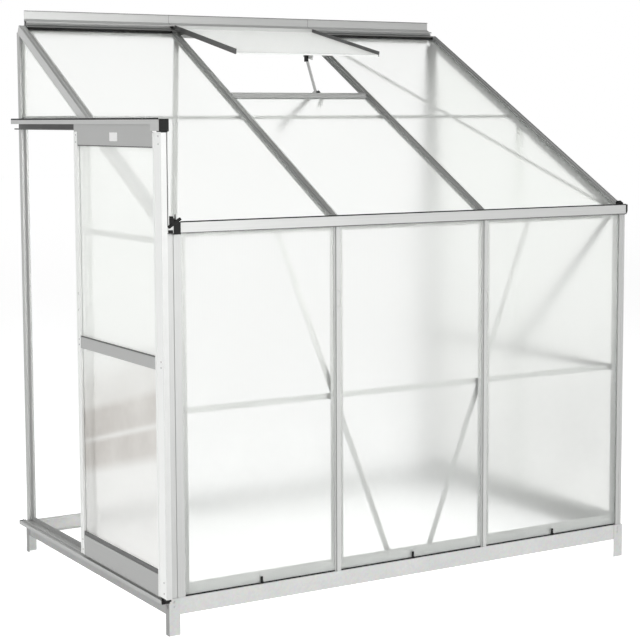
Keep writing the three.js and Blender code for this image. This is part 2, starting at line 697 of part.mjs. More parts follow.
// Right gable: two panels with a bar between them, a girt and a brace
function makeRightGable() {
  const yOfU = (u) => u;
  const from = FRONT_Y + POST_NOSE_GABLE;
  const to = BACK_Y - WALL_POST_NOSE;
  const sillFrom = from + FLANGE + CLEAR;
  const sillTo = to - FLANGE - CLEAR;
  add(right, 'sill_right', alongU(sillProfile(), sillFrom, sillTo), aluminium);
  const bar = cut(
    alongW(barProfile(0, BAR_DEPTH), BASE_TOP, RIDGE_HEIGHT),
    sillSpace(),
    aboveRoof(RAFTER_NOSE_SIDE + CLEAR, -OVERRUN, BACK_V, yOfU, -BAR_FLANGE, BAR_FLANGE),
    aboveRoof(RAFTER_NOSE_SIDE + RAFTER_FLANGE + CLEAR, SEAT - CLEAR, BACK_V, yOfU, -BAR_FLANGE, BAR_FLANGE),
  );
  add(right, 'gable_bar_right', bar, aluminium);
  const shoulder = BAR_SHOULDER / 2 + EDGE_GAP;
  for (const [name, a, b] of [['front', from + EDGE_GAP, -shoulder], ['back', shoulder, to - EDGE_GAP]]) {
    add(right, `gable_panel_right_${name}`, gablePanel(a, b, yOfU, BASE_TOP + CLEAR), twinWall);
  }
  const girtFrom = FRONT_Y + BAR_DEPTH + GIRT_THICK + CLEAR;
  const girtTo = BACK_Y - WALL_POST_SHEET - CLEAR;
  add(right, 'gable_girt_right', girt(GIRT_HEIGHT, girtFrom, girtTo), aluminium);
  const topU = FRONT_Y + GABLE_BRACE_START;
  const top = roofLine(topU, SHELF_DEPTH + WALL + CLEAR) - GIRT_WIDTH;
  const points = levelStrip(topU + STRIP_WIDTH, top, 0, GIRT_HEIGHT - GIRT_WIDTH / 2);
  add(right, 'gable_brace_right', alongV(points, BRACE_DEPTH, BRACE_DEPTH + STRIP_THICK), aluminium);
}

// Panel of a gable with its upper edge along the rafter
function gablePanel(from, to, yOfU, bottom) {
  const depth = RAFTER_NOSE_SIDE + EDGE_GAP;
  const points = [
    [from, bottom],
    [to, bottom],
    [to, roofLine(yOfU(to), depth)],
    [from, roofLine(yOfU(from), depth)],
  ];
  return alongV(points, NOSE_PROUD, NOSE_PROUD + PANEL);
}

// Edge bar of the doorway: a nose with a flange on one side only
function edgeProfile(nose, flange, web) {
  return [
    [0, 0],
    [nose, 0],
    [nose, SEAT],
    [nose + flange, SEAT],
    [nose + flange, SEAT + WALL],
    [WALL, SEAT + WALL],
    [WALL, web],
    [0, web],
  ];
}

// Left gable: fixed panel, doorway with its jamb and header, and the small panel above it
function makeLeftGable() {
  const yOfU = (u) => -u;
  const postU = -FRONT_Y - POST_NOSE_GABLE;
  const wallU = -BACK_Y + WALL_POST_NOSE;
  const jambFrom = -JAMB_CENTRE - JAMB_NOSE / 2;
  const jambPoints = edgeProfile(JAMB_NOSE, FLANGE, BAR_DEPTH).map(([a, b]) => [jambFrom + a, b]);
  const jambEnd = jambFrom + JAMB_NOSE + FLANGE;
  const floor = THRESHOLD_TOP + THRESHOLD_UPSTAND + CLEAR;
  const jamb = cut(
    alongW(jambPoints, BASE_TOP, RIDGE_HEIGHT),
    block([jambFrom - OVERRUN, SEAT - CLEAR, 0], [jambEnd + OVERRUN, BACK_V, floor]),
    block([jambFrom - OVERRUN, -OVERRUN, 0], [jambEnd + OVERRUN, BACK_V, THRESHOLD_TOP + CLEAR]),
    aboveRoof(RAFTER_NOSE_SIDE + CLEAR, -OVERRUN, BACK_V, yOfU, jambFrom - OVERRUN, jambEnd + OVERRUN),
    aboveRoof(
      RAFTER_NOSE_SIDE + RAFTER_FLANGE + CLEAR, SEAT - CLEAR, BACK_V, yOfU,
      jambFrom - OVERRUN, jambEnd + OVERRUN,
    ),
  );
  add(left, 'door_jamb', jamb, aluminium);
  const header = edgeProfile(JAMB_NOSE, FLANGE, BAR_DEPTH).map(([a, b]) => [b, HEADER_BOTTOM + a]);
  const headerFrom = wallU - FLANGE;
  const headerTo = jambFrom + JAMB_NOSE;
  const headerBar = cut(
    alongU(header, wallU + CLEAR, headerTo),
    block([wallU - OVERRUN, SEAT - CLEAR, 0], [wallU + FLANGE + CLEAR, BACK_V, PLATE_TOP]),
    aboveRoof(RAFTER_NOSE_SIDE + CLEAR, -OVERRUN, BACK_V, yOfU, headerFrom, headerTo + OVERRUN),
    aboveRoof(
      RAFTER_NOSE_SIDE + RAFTER_FLANGE + CLEAR, SEAT - CLEAR, BACK_V, yOfU,
      headerFrom, headerTo + OVERRUN,
    ),
    block([jambFrom - CLEAR, -OVERRUN, 0], [headerTo + OVERRUN, BACK_V, PLATE_TOP]),
  );
  add(left, 'door_header', headerBar, aluminium);
  const railTo = -FRONT_Y - SEAT - WALL - CLEAR;
  add(left, 'gable_rail_left', girt(GABLE_RAIL_HEIGHT, jambFrom, railTo), aluminium);
  const fixedFrom = jambFrom + JAMB_NOSE + EDGE_GAP;
  const panelFloor = THRESHOLD_TOP + CLEAR;
  add(left, 'gable_panel_left_front', gablePanel(fixedFrom, postU - EDGE_GAP, yOfU, panelFloor), twinWall);
  const sillUpper = HEADER_BOTTOM + JAMB_NOSE + EDGE_GAP;
  const meet = -(FRONT_Y + (sillUpper - EAVES_HEIGHT + (RAFTER_NOSE_SIDE + EDGE_GAP) / COS) / TAN);
  const upper = [
    [wallU + EDGE_GAP, sillUpper],
    [meet, sillUpper],
    [wallU + EDGE_GAP, roofLine(yOfU(wallU + EDGE_GAP), RAFTER_NOSE_SIDE + EDGE_GAP)],
  ];
  add(left, 'gable_panel_left_upper', alongV(upper, NOSE_PROUD, NOSE_PROUD + PANEL), twinWall);
}

// Threshold: plate on the base rail with an upstand between the posts; outside it carries the rib
// that guides the door's foot
function makeThreshold() {
  const ribV = -DOOR_GAP - DOOR_THICK / 2;
  const outer = [
    [-CLEAR, BASE_TOP],
    [-CLEAR, THRESHOLD_TOP],
    [ribV + WALL / 2, THRESHOLD_TOP],
    [ribV + WALL / 2, THRESHOLD_TOP + GUIDE_RIB],
    [ribV - WALL / 2, THRESHOLD_TOP + GUIDE_RIB],
    [ribV - WALL / 2, THRESHOLD_TOP],
    [-THRESHOLD_PROUD, THRESHOLD_TOP],
    [-THRESHOLD_PROUD, BASE_TOP - THRESHOLD_DROP],
    [-THRESHOLD_PROUD + WALL, BASE_TOP - THRESHOLD_DROP],
    [-THRESHOLD_PROUD + WALL, BASE_TOP],
  ];
  const inner = [
    [-WALL, BASE_TOP],
    [-WALL, THRESHOLD_TOP],
    [SEAT, THRESHOLD_TOP],
    [SEAT, THRESHOLD_TOP + THRESHOLD_UPSTAND],
    [SEAT + WALL, THRESHOLD_TOP + THRESHOLD_UPSTAND],
    [SEAT + WALL, THRESHOLD_TOP],
    [SEAT + SILL_FOOT, THRESHOLD_TOP],
    [SEAT + SILL_FOOT, BASE_TOP],
  ];
  const from = -BACK_Y + WALL_POST_NOSE + FLANGE + CLEAR;
  const to = -FRONT_Y - POST_NOSE_GABLE - FLANGE - CLEAR;
  const geometry = joined(
    alongU(outer, -BACK_Y + TRACK_BACK_GAP, -FRONT_Y + FRAME_INSET),
    alongU(inner, from, to),
  );
  add(left, 'threshold', geometry, aluminium);
}

// Door track: a channel with a runner for the rollers and a lip outside, open below the lip and
// closed at its front end, with a flat support that carries it above the eaves
function makeTrack() {
  const back = -CLEAR;
  const lipBottom = TRACK_TOP - TRACK_LIP;
  const edgeTop = TRACK_BOTTOM + WALL + TRACK_RUNNER_EDGE;
  const points = [
    [back, TRACK_BOTTOM],
    [back, TRACK_TOP],
    [-TRACK_PROUD, TRACK_TOP],
    [-TRACK_PROUD, lipBottom],
    [-TRACK_PROUD + WALL, lipBottom],
    [-TRACK_PROUD + WALL, TRACK_TOP - WALL],
    [back - WALL, TRACK_TOP - WALL],
    [back - WALL, TRACK_BOTTOM + WALL],
    [-TRACK_RUNNER + WALL, TRACK_BOTTOM + WALL],
    [-TRACK_RUNNER + WALL, edgeTop],
    [-TRACK_RUNNER, edgeTop],
    [-TRACK_RUNNER, TRACK_BOTTOM],
  ];
  const from = -BACK_Y + TRACK_BACK_GAP;
  const to = -FRONT_Y + TRACK_FRONT;
  const stop = block([to - TRACK_STOP, -TRACK_PROUD, TRACK_BOTTOM], [to, back, TRACK_TOP]);
  add(left, 'door_track', joined(alongU(points, from, to - WALL), stop), aluminium);
  const supportTo = -FRONT_Y + SUPPORT_FRONT;
  const grooveFrom = supportTo - SUPPORT_WIDTH / 2 - POST_GROOVE / 2;
  const strip = [
    [supportTo - SUPPORT_WIDTH, -CLEAR],
    [supportTo, -CLEAR],
    [supportTo, -CLEAR - SUPPORT_THICK],
    [grooveFrom + POST_GROOVE, -CLEAR - SUPPORT_THICK],
    [grooveFrom + POST_GROOVE / 2, -CLEAR - WALL],
    [grooveFrom, -CLEAR - SUPPORT_THICK],
    [supportTo - SUPPORT_WIDTH, -CLEAR - SUPPORT_THICK],
  ];
  add(left, 'track_support', alongW(strip, EAVES_HEIGHT + SUPPORT_RISE, TRACK_BOTTOM - CLEAR), aluminium);
}

// Door leaf: two stiles and three rails with grooves that hold the upper and lower panel
function makeDoor() {
  const outerV = -DOOR_GAP - DOOR_THICK;
  const innerV = -DOOR_GAP;
  const midV = (outerV + innerV) / 2;
  const grooveHalf = PANEL / 2 + GROOVE_PLAY;
  const tuck = PANEL_TUCK + EDGE_GAP;
  const to = -FRONT_Y + DOOR_FRONT;
  const from = to - DOOR_WIDTH;
  const door = new THREE.Group();
  left.add(door);
  const stile = (edge, turn, width) => [
    [0, outerV],
    [STILE_GRIP_WIDTH, outerV],
    [STILE_GRIP_WIDTH, outerV + STILE_GRIP],
    [width - STILE_GRIP_WIDTH, outerV + STILE_GRIP],
    [width - STILE_GRIP_WIDTH, outerV],
    [width, outerV],
    [width, midV - grooveHalf],
    [width - tuck, midV - grooveHalf],
    [width - tuck, midV + grooveHalf],
    [width, midV + grooveHalf],
    [width, innerV],
    [0, innerV],
  ].map(([a, b]) => [edge + turn * a, b]);
  add(door, 'door_stile_back', alongW(stile(from, 1, STILE_BACK), DOOR_BOTTOM, DOOR_TOP), aluminium);
  add(door, 'door_stile_front', alongW(stile(to, -1, STILE_FRONT), DOOR_BOTTOM, DOOR_TOP), aluminium);
  const railFrom = from + STILE_BACK + CLEAR;
  const railTo = to - STILE_FRONT - CLEAR;
  const shrink = STILE_GRIP / 2;
  const railShape = (bottom, top, grooveBelow, grooveAbove) => {
    const lower = [[midV + grooveHalf, bottom], [midV + grooveHalf, bottom + tuck],
      [midV - grooveHalf, bottom + tuck], [midV - grooveHalf, bottom]];
    const upper = [[midV - grooveHalf, top], [midV - grooveHalf, top - tuck],
      [midV + grooveHalf, top - tuck], [midV + grooveHalf, top]];
    return [
      [innerV, bottom],
      ...(grooveBelow ? lower : []),
      [outerV + shrink, bottom],
      [outerV + shrink, top],
      ...(grooveAbove ? upper : []),
      [innerV, top],
    ];
  };
  const midTop = DOOR_MID_HEIGHT + DOOR_MID_RAIL;
  const topRailBottom = DOOR_TOP - DOOR_TOP_RAIL;
  const bottomRailTop = DOOR_BOTTOM + DOOR_BOTTOM_RAIL;
  const rollerW = TRACK_BOTTOM + WALL + CLEAR + ROLLER_RADIUS;
  const runner = (-CLEAR - 2 * WALL - TRACK_RUNNER + WALL) / 2;
  const rollerInner = runner + ROLLER_WIDTH / 2;
  const rollerOuter = runner - ROLLER_WIDTH / 2;
  const rollers = [['back', from + ROLLER_INSET], ['front', to - ROLLER_INSET]];
  const axles = rollers.map(([, u]) => rodAlongV(AXLE_RADIUS, outerV + WALL, rollerInner, u, rollerW));
  const hangerEnd = -FRONT_Y + TRACK_FRONT - TRACK_STOP - EDGE_GAP;
  const hangerOuter = outerV + shrink;
  const hangerInner = hangerOuter + WALL;
  const hangerTop = TRACK_TOP - TRACK_LIP + HANGER_LAP;
  const hanger = joined(
    block([from, hangerOuter, DOOR_TOP + CLEAR], [hangerEnd, hangerInner, hangerTop]),
    block([railFrom, hangerOuter, DOOR_TOP - WALL], [railTo, hangerInner, DOOR_TOP + WALL]),
  );
  const topRail = alongU(railShape(topRailBottom, DOOR_TOP, true, false), railFrom, railTo);
  add(door, 'door_rail_top', joined(topRail, hanger, ...axles), aluminium);
  const midRail = alongU(railShape(DOOR_MID_HEIGHT, midTop, true, true), railFrom, railTo);
  add(door, 'door_rail_middle', midRail, aluminium);
  const bottomRail = alongU(railShape(DOOR_BOTTOM, bottomRailTop, false, true), railFrom, railTo);
  const ribPlay = WALL / 2 + GUIDE_PLAY;
  const fingers = [railFrom, railTo - GUIDE_LENGTH].flatMap((u) => [-1, 1].map((side) => {
    const [a, b] = [side * ribPlay, side * (ribPlay + GUIDE_FINGER)].sort((p, q) => p - q);
    return block(
      [u, midV + a, THRESHOLD_TOP + GUIDE_LIFT],
      [u + GUIDE_LENGTH, midV + b, DOOR_BOTTOM + WALL],
    );
  }));
  add(door, 'door_rail_bottom', joined(bottomRail, ...fingers), aluminium);
  const panelFrom = from + STILE_BACK - PANEL_TUCK;
  const panelTo = to - STILE_FRONT + PANEL_TUCK;
  const panels = [
    ['upper', midTop - PANEL_TUCK, topRailBottom + PANEL_TUCK],
    ['lower', bottomRailTop - PANEL_TUCK, DOOR_MID_HEIGHT + PANEL_TUCK],
  ];
  for (const [name, low, high] of panels) {
    const sheet = block([panelFrom, midV - PANEL / 2, low], [panelTo, midV + PANEL / 2, high]);
    add(door, `door_panel_${name}`, sheet, twinWall);
  }
  for (const [name, u] of rollers) {
    const wheel = rodAlongV(ROLLER_RADIUS, rollerOuter, rollerInner, 0, 0);
    const bore = rodAlongV(AXLE_RADIUS + CLEAR, rollerOuter - OVERRUN, rollerInner + OVERRUN, 0, 0);
    const roller = add(door, `door_roller_${name}`, cut(wheel, bore), plastic);
    roller.position.set(u, 0, rollerW);
  }
}

// Vent sill between the middle rafters: a bar with a lip over the panel below it, and the bracket
// with the peg that holds the stay
function makeVentSill() {
  const wide = BAR_OFFSET - BAR_SHOULDER / 2 - CLEAR;
  const narrow = BAR_OFFSET - BAR_FLANGE / 2 - CLEAR;
  const lip = NOSE_PROUD - CLEAR;
  const barFrom = SILL_S - VENT_SILL_BAR;
  const top = [
    [0, SILL_S],
    [0, barFrom],
    [lip - WALL, barFrom],
    [lip - WALL, barFrom - VENT_SILL_LIP],
    [lip, barFrom - VENT_SILL_LIP],
    [lip, barFrom],
    [SEAT - CLEAR, barFrom],
    [SEAT - CLEAR, SILL_S],
  ];
  const under = [
    [lip, barFrom],
    [SEAT, barFrom],
    [SEAT, barFrom - VENT_SILL_LIP],
    [SEAT + WALL, barFrom - VENT_SILL_LIP],
    [SEAT + WALL, SILL_S],
    [lip, SILL_S],
  ];
  const bracketFrom = STAY_FOOT_OFFSET + STAY_THICK + STAY_WIDTH / 2;
  const bracketTo = bracketFrom + BRACKET_WIDTH;
  const pegS = SILL_S + STAY_FOOT_IN;
  const plate = block([bracketFrom, WALL, SILL_S - WALL], [bracketTo, BRACKET_DROP, SILL_S + WALL]);
  const ear = block([bracketFrom, WALL, SILL_S - WALL], [bracketFrom + WALL, PEG_RADIUS * 4, pegS + PEG_RADIUS * 2]);
  const peg = rodAlongU(PEG_RADIUS, STAY_FOOT_OFFSET + STAY_THICK, bracketFrom + WALL, WALL + PEG_RADIUS * 2, pegS);
  const bar = joined(alongU(top, -wide, wide), alongU(under, -narrow, narrow), plate, ear, peg);
  add(roof, 'vent_sill', bar, aluminium);
}

// Vent: its group turns about the bead in the wall plate's hook; down its slope is -w
function makeVent() {
  const vent = new THREE.Group();
  vent.position.set(0, -HINGE_RISE, HINGE_S);
  vent.rotation.x = -VENT_OPEN;
  roof.add(vent);
  const half = BAR_OFFSET + VENT_OVERLAP;
  const under = HINGE_RISE - VENT_LIFT;
  const over = under - VENT_DEPTH;
  const panelV = over + VENT_PANEL_DROP;
  const topS = -(PLATE_FLAP - HINGE_BACK) - EDGE_GAP;
  const footS = -VENT_LENGTH;
  const ring = (inset) => {
    const shape = outline([[footS, -half], [topS, -half], [topS, half], [footS, half]]);
    shape.holes.push(new THREE.Path([
      [footS + inset, -half + inset],
      [topS - inset, -half + inset],
      [topS - inset, half - inset],
      [footS + inset, half - inset],
    ].map(([a, b]) => new THREE.Vector2(a, b))));
    return shape;
  };
  const ledgeV = panelV + PANEL + CLEAR;
  const between = half - VENT_RAIL;
  const rails = cut(
    turned(ring(VENT_RAIL), VENT_DEPTH, W, U, V).translate(0, over, 0),
    block([-between, over - OVERRUN, footS - OVERRUN], [between, panelV, footS + VENT_RAIL + CLEAR]),
    block([-between, ledgeV + WALL, footS - OVERRUN], [between, under + OVERRUN, footS + VENT_RAIL + CLEAR]),
  );
  const ledge = turned(ring(VENT_RAIL + VENT_LEDGE), WALL, W, U, V).translate(0, ledgeV, 0);
  const neck = block([-half, -NECK / 2, topS - WALL], [half, NECK / 2, 0]);
  const bead = rodAlongU(BEAD_RADIUS, -half, half, 0, 0);
  const pivotW = footS + STAY_PIVOT_BACK;
  const pivotV = under + STAY_PIVOT_DROP;
  const lugTo = STAY_TOP_OFFSET - STAY_THICK - CLEAR;
  const lug = block(
    [lugTo - LUG_THICK, ledgeV, footS + VENT_RAIL + VENT_LEDGE - WALL],
    [lugTo, pivotV + STAY_BOSS_RADIUS, pivotW + STAY_BOSS_RADIUS],
  );
  const pin = rodAlongU(STAY_PIN_RADIUS, lugTo - WALL, STAY_TOP_OFFSET + STAY_THICK, pivotV, pivotW);
  add(vent, 'vent_frame', joined(rails, ledge, neck, bead, lug, pin), aluminium);
  const edge = half - VENT_RAIL - CLEAR;
  const sheet = block([-edge, panelV, footS + VENT_RAIL + CLEAR], [edge, panelV + PANEL, topS - VENT_RAIL - CLEAR]);
  add(vent, 'vent_panel', sheet, twinWall);
  return new THREE.Vector3(0, pivotV, pivotW);
}

const pivotInVent = makeVent();
makeVentSill();

// Stay: a flat bar that leans from its pin under the vent to the peg on the sill, and bends into
// the handle that hangs inside. It is drawn in a plane across the roof and tilted sideways.
function makeStay(pivot) {
  const turn = new THREE.Matrix4().makeRotationX(-VENT_OPEN);
  const top = pivot.clone().applyMatrix4(turn).add(new THREE.Vector3(0, -HINGE_RISE, HINGE_S));
  top.x = STAY_TOP_OFFSET;
  const foot = new THREE.Vector3(STAY_FOOT_OFFSET, WALL + PEG_RADIUS * 2, SILL_S + STAY_FOOT_IN);
  const tail = foot.clone().add(STAY_TAIL);
  const boss = cut(
    rodAlongU(STAY_BOSS_RADIUS, top.x - STAY_THICK, top.x + STAY_THICK, top.y, top.z),
    rodAlongU(STAY_PIN_RADIUS + CLEAR, top.x - OVERRUN, top.x + OVERRUN, top.y, top.z),
  );
  const down = foot.clone().sub(top).normalize();
  const neckStart = top.clone().addScaledVector(down, STAY_PIN_RADIUS + WALL);
  const strip = (a, b) => {
    const direction = b.clone().sub(a);
    const length = direction.length();
    const w = direction.normalize();
    const u = U.clone().addScaledVector(w, -w.x).normalize();
    const v = new THREE.Vector3().crossVectors(w, u);
    const bar = block([-STAY_THICK / 2, -STAY_WIDTH / 2, 0], [STAY_THICK / 2, STAY_WIDTH / 2, length]);
    const place = new THREE.Matrix4().makeBasis(u, v, w).setPosition(a);
    return bar.applyMatrix4(place);
  };
  const knee = rodAlongU(STAY_WIDTH / 2, foot.x - STAY_THICK, foot.x + STAY_THICK - CLEAR, foot.y, foot.z);
  const bar = joined(boss, strip(neckStart, foot), knee, strip(foot, tail));
  add(roof, 'vent_stay', bar, aluminium);
}

makeBaseRails();
makeLegs();
makeCornerPosts();
makeWallPosts();
makeFrontWall();
makeFrontBracing();
makeEaves();
makeWallPlate();
makeRafters();
makeRoofPanels();
makeRoofBracing();
makeRightGable();
makeLeftGable();
makeThreshold();
makeTrack();
makeDoor();
makeStay(pivotInVent);

// The origin is under the middle of the whole object, on the ground
greenhouse.updateMatrixWorld(true);
const box = new THREE.Box3().setFromObject(greenhouse, true);
const centre = box.getCenter(new THREE.Vector3());
greenhouse.position.set(-centre.x, -centre.y, -box.min.z);

export default greenhouse;
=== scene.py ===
import bmesh
import bpy
import math
from mathutils import Matrix, Vector


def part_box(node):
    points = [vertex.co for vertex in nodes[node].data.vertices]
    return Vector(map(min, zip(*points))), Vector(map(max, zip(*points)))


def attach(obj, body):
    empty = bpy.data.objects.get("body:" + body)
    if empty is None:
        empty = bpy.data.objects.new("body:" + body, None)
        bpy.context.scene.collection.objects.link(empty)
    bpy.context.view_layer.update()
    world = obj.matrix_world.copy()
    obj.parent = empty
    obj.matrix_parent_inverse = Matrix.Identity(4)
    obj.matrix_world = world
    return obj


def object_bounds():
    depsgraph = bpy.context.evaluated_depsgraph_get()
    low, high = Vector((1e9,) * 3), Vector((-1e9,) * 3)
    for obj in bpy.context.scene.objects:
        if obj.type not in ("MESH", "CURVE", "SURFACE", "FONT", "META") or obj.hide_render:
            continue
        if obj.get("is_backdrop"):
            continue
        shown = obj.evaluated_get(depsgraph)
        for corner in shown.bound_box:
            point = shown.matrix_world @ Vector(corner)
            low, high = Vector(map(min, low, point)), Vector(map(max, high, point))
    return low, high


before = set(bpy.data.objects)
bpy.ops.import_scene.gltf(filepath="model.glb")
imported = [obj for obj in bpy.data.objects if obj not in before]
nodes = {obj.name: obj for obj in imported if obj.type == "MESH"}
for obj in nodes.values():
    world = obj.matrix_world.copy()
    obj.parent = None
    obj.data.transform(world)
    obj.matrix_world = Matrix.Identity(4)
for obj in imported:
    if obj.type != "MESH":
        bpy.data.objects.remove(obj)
cad_low, cad_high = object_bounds()
scene = bpy.context.scene
scene.view_settings.view_transform = "Standard"

# Camera
# A long lens a few metres off the left front corner, at about eye height. It looks slightly
# down, and the lens is shifted a little so that the uprights stay nearly upright.
camera_place = Vector((-3.2340, -5.3912, 1.6731))
camera_heading = math.radians(-30.894)
camera_tilt = math.radians(-5.539)
camera_roll = math.radians(-0.251)
camera_data = bpy.data.cameras.new("camera")
camera_data.sensor_width = 36
camera_data.lens = 93.70
camera_data.shift_x = 0.0025
camera_data.shift_y = -0.0625
camera = bpy.data.objects.new("camera", camera_data)
scene.collection.objects.link(camera)
upright = Matrix.Rotation(math.pi / 2 + camera_tilt, 4, "X")
turned = Matrix.Rotation(camera_heading, 4, "Z") @ upright @ Matrix.Rotation(camera_roll, 4, "Z")
camera.matrix_world = Matrix.Translation(camera_place) @ turned
scene.camera = camera

# White surroundings and floor
# A white studio: the floor and all round are white where they are seen, in the glass and in
# the metal too. The floor keeps the object's soft shadow.
white = (1, 1, 1, 1)
ambient_strength = 0.35
floor_tone = 0.86
floor_glow = 0.7


def feed(tree, sockets, sources):
    """Gives each socket its source: another node's output, or a value of its own."""
    for socket, source in zip(sockets, sources):
        if isinstance(source, bpy.types.NodeSocket):
            tree.links.new(source, socket)
        else:
            socket.default_value = source


def worked_out(tree, operation, *sources):
    node = tree.nodes.new("ShaderNodeMath")
    node.operation = operation
    feed(tree, node.inputs, sources)
    return node.outputs["Value"]


def seen_directly(tree):
    """One for camera rays and for rays off metal or through glass, zero for scattered light."""
    ray = tree.nodes.new("ShaderNodeLightPath").outputs
    seen = worked_out(tree, "MAXIMUM", ray["Is Camera Ray"], ray["Is Glossy Ray"])
    return worked_out(tree, "MAXIMUM", seen, ray["Is Transmission Ray"])


world = bpy.data.worlds.new("studio")
world.use_nodes = True
scene.world = world
tree = world.node_tree
tree.nodes.clear()
backgrounds = []
for strength in (ambient_strength, 1):
    background = tree.nodes.new("ShaderNodeBackground")
    feed(tree, background.inputs, (white, strength))
    backgrounds.append(background.outputs["Background"])
either = tree.nodes.new("ShaderNodeMixShader")
feed(tree, either.inputs, (seen_directly(tree), *backgrounds))
world_output = tree.nodes.new("ShaderNodeOutputWorld")
tree.links.new(either.outputs["Shader"], world_output.inputs["Surface"])


def stage_sheet(name, reach, place, material):
    """A large flat sheet of the studio; the place is a full transform."""
    mesh = bpy.data.meshes.new(name)
    bm = bmesh.new()
    bmesh.ops.create_grid(bm, x_segments=1, y_segments=1, size=reach, matrix=place)
    bm.to_mesh(mesh)
    bm.free()
    mesh.materials.append(material)
    sheet = bpy.data.objects.new(name, mesh)
    scene.collection.objects.link(sheet)
    sheet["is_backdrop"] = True
    return sheet


def studio_paint(name, tone):
    """A matt grey paint, with the socket that its surface comes from."""
    material = bpy.data.materials.new(name)
    material.use_nodes = True
    tree = material.node_tree
    tree.nodes.clear()
    paint = tree.nodes.new("ShaderNodeBsdfDiffuse")
    paint.inputs["Color"].default_value = (tone, tone, tone, 1)
    surface = tree.nodes.new("ShaderNodeOutputMaterial").inputs["Surface"]
    tree.links.new(paint.outputs["BSDF"], surface)
    return material, surface


floor_material, surface = studio_paint("studio_floor", floor_tone)
tree = floor_material.node_tree
glow = tree.nodes.new("ShaderNodeEmission")
lift = worked_out(tree, "MULTIPLY", seen_directly(tree), floor_glow)
tree.links.new(lift, glow.inputs["Strength"])
both = tree.nodes.new("ShaderNodeAddShader")
feed(tree, both.inputs, (surface.links[0].from_socket, glow.outputs["Emission"]))
tree.links.new(both.outputs["Shader"], surface)
floor_reach = 40
stage_sheet("floor", floor_reach, Matrix.Identity(4), floor_material)

# Grey board
# A grey board hung high behind the set. The tops of the sloping bars show it, which sets them
# off from the panels and from the faces beside them.
board_tone = 0.10
board_reach = 5
board_centre = (4.4, 4.2, 8.5)
grey_paint = studio_paint("studio_grey", board_tone)[0]
board_place = Matrix.Translation(board_centre) @ Matrix.Rotation(math.pi, 4, "X")
board = stage_sheet("board", board_reach, board_place, grey_paint)
board.visible_camera = False

# Lamps
# Three large soft lamps: the strongest before the front wall and a little to its right, so that
# the left faces stay a step darker, a weak one on the left and one above.
lamps = {
    "front_lamp": ((0.3, -8.4, 2.6), 4.0, 330),
    "side_lamp": ((-6.5, -1.6, 2.2), 4.0, 120),
    "top_lamp": ((0.6, -0.6, 7.0), 4.0, 90),
}
lamp_target = Vector((0, 0, 1.0))
for name, (place, side, power) in lamps.items():
    lamp_data = bpy.data.lights.new(name, "AREA")
    lamp_data.shape = "SQUARE"
    lamp_data.size = side
    lamp_data.energy = power
    lamp = bpy.data.objects.new(name, lamp_data)
    scene.collection.objects.link(lamp)
    lamp.location = place
    lamp.rotation_euler = (lamp_target - Vector(place)).to_track_quat("-Z", "Y").to_euler()
    lamp.visible_camera = False

# Steel base
# Four channels of bent sheet bolted to four angle legs, galvanised: an even satin grey with a
# faint spangle, a few darker patches and small scuffs.


def new_material(name, roughness, metallic):
    material = bpy.data.materials.new(name)
    material.use_nodes = True
    shader = material.node_tree.nodes["Principled BSDF"]
    shader.inputs["Roughness"].default_value = roughness
    shader.inputs["Metallic"].default_value = metallic
    return material, material.node_tree, shader


def new_group(name, inputs, outputs):
    group = bpy.data.node_groups.new(name, "ShaderNodeTree")
    for label, kind, value in inputs:
        socket = group.interface.new_socket(label, in_out="INPUT", socket_type=kind)
        if value is not None:
            socket.default_value = value
    for label, kind in outputs:
        group.interface.new_socket(label, in_out="OUTPUT", socket_type=kind)
    return group, group.nodes.new("NodeGroupInput"), group.nodes.new("NodeGroupOutput")


def mixed(tree, share, first, second, blend="MIX"):
    """A colour made of two; the share is that of the second."""
    node = tree.nodes.new("ShaderNodeMix")
    node.data_type = "RGBA"
    node.blend_type = blend
    feed(tree, [node.inputs[label] for label in ("Factor", "A", "B")], (share, first, second))
    return node.outputs["Result"]


def patches_group():
    """Two tones that change slowly over a surface, with fine grain in them."""
    group, given, out = new_group("patches", [
        ("Vector", "NodeSocketVector", None),
        ("Light tone", "NodeSocketColor", white),
        ("Dark tone", "NodeSocketColor", white),
        ("Patch scale", "NodeSocketFloat", 6),
        ("Grain scale", "NodeSocketFloat", 300),
        ("Grain share", "NodeSocketFloat", 0.3),
    ], [("Color", "NodeSocketColor"), ("Mask", "NodeSocketFloat")])
    broad = group.nodes.new("ShaderNodeTexNoise")
    broad.inputs["Detail"].default_value = 3
    fine = group.nodes.new("ShaderNodeTexNoise")
    fine.inputs["Detail"].default_value = 2
    mask = group.nodes.new("ShaderNodeMix")
    link = group.links.new
    link(given.outputs["Vector"], broad.inputs["Vector"])
    link(given.outputs["Vector"], fine.inputs["Vector"])
    link(given.outputs["Patch scale"], broad.inputs["Scale"])
    link(given.outputs["Grain scale"], fine.inputs["Scale"])
    link(given.outputs["Grain share"], mask.inputs["Factor"])
    link(broad.outputs["Fac"], mask.inputs["A"])
    link(fine.outputs["Fac"], mask.inputs["B"])
    link(mask.outputs["Result"], out.inputs["Mask"])
    light, dark = given.outputs["Light tone"], given.outputs["Dark tone"]
    link(mixed(group, mask.outputs["Result"], light, dark), out.inputs["Color"])
    return group


patches_tree = patches_group()


def place_patches(tree, vector, tones, patch, grain, share):
    patches = tree.nodes.new("ShaderNodeGroup")
    patches.node_tree = patches_tree
    tree.links.new(vector, patches.inputs["Vector"])
    patches.inputs["Light tone"].default_value = tones[0]
    patches.inputs["Dark tone"].default_value = tones[1]
    patches.inputs["Patch scale"].default_value = patch
    patches.inputs["Grain scale"].default_value = grain
    patches.inputs["Grain share"].default_value = share
    return patches


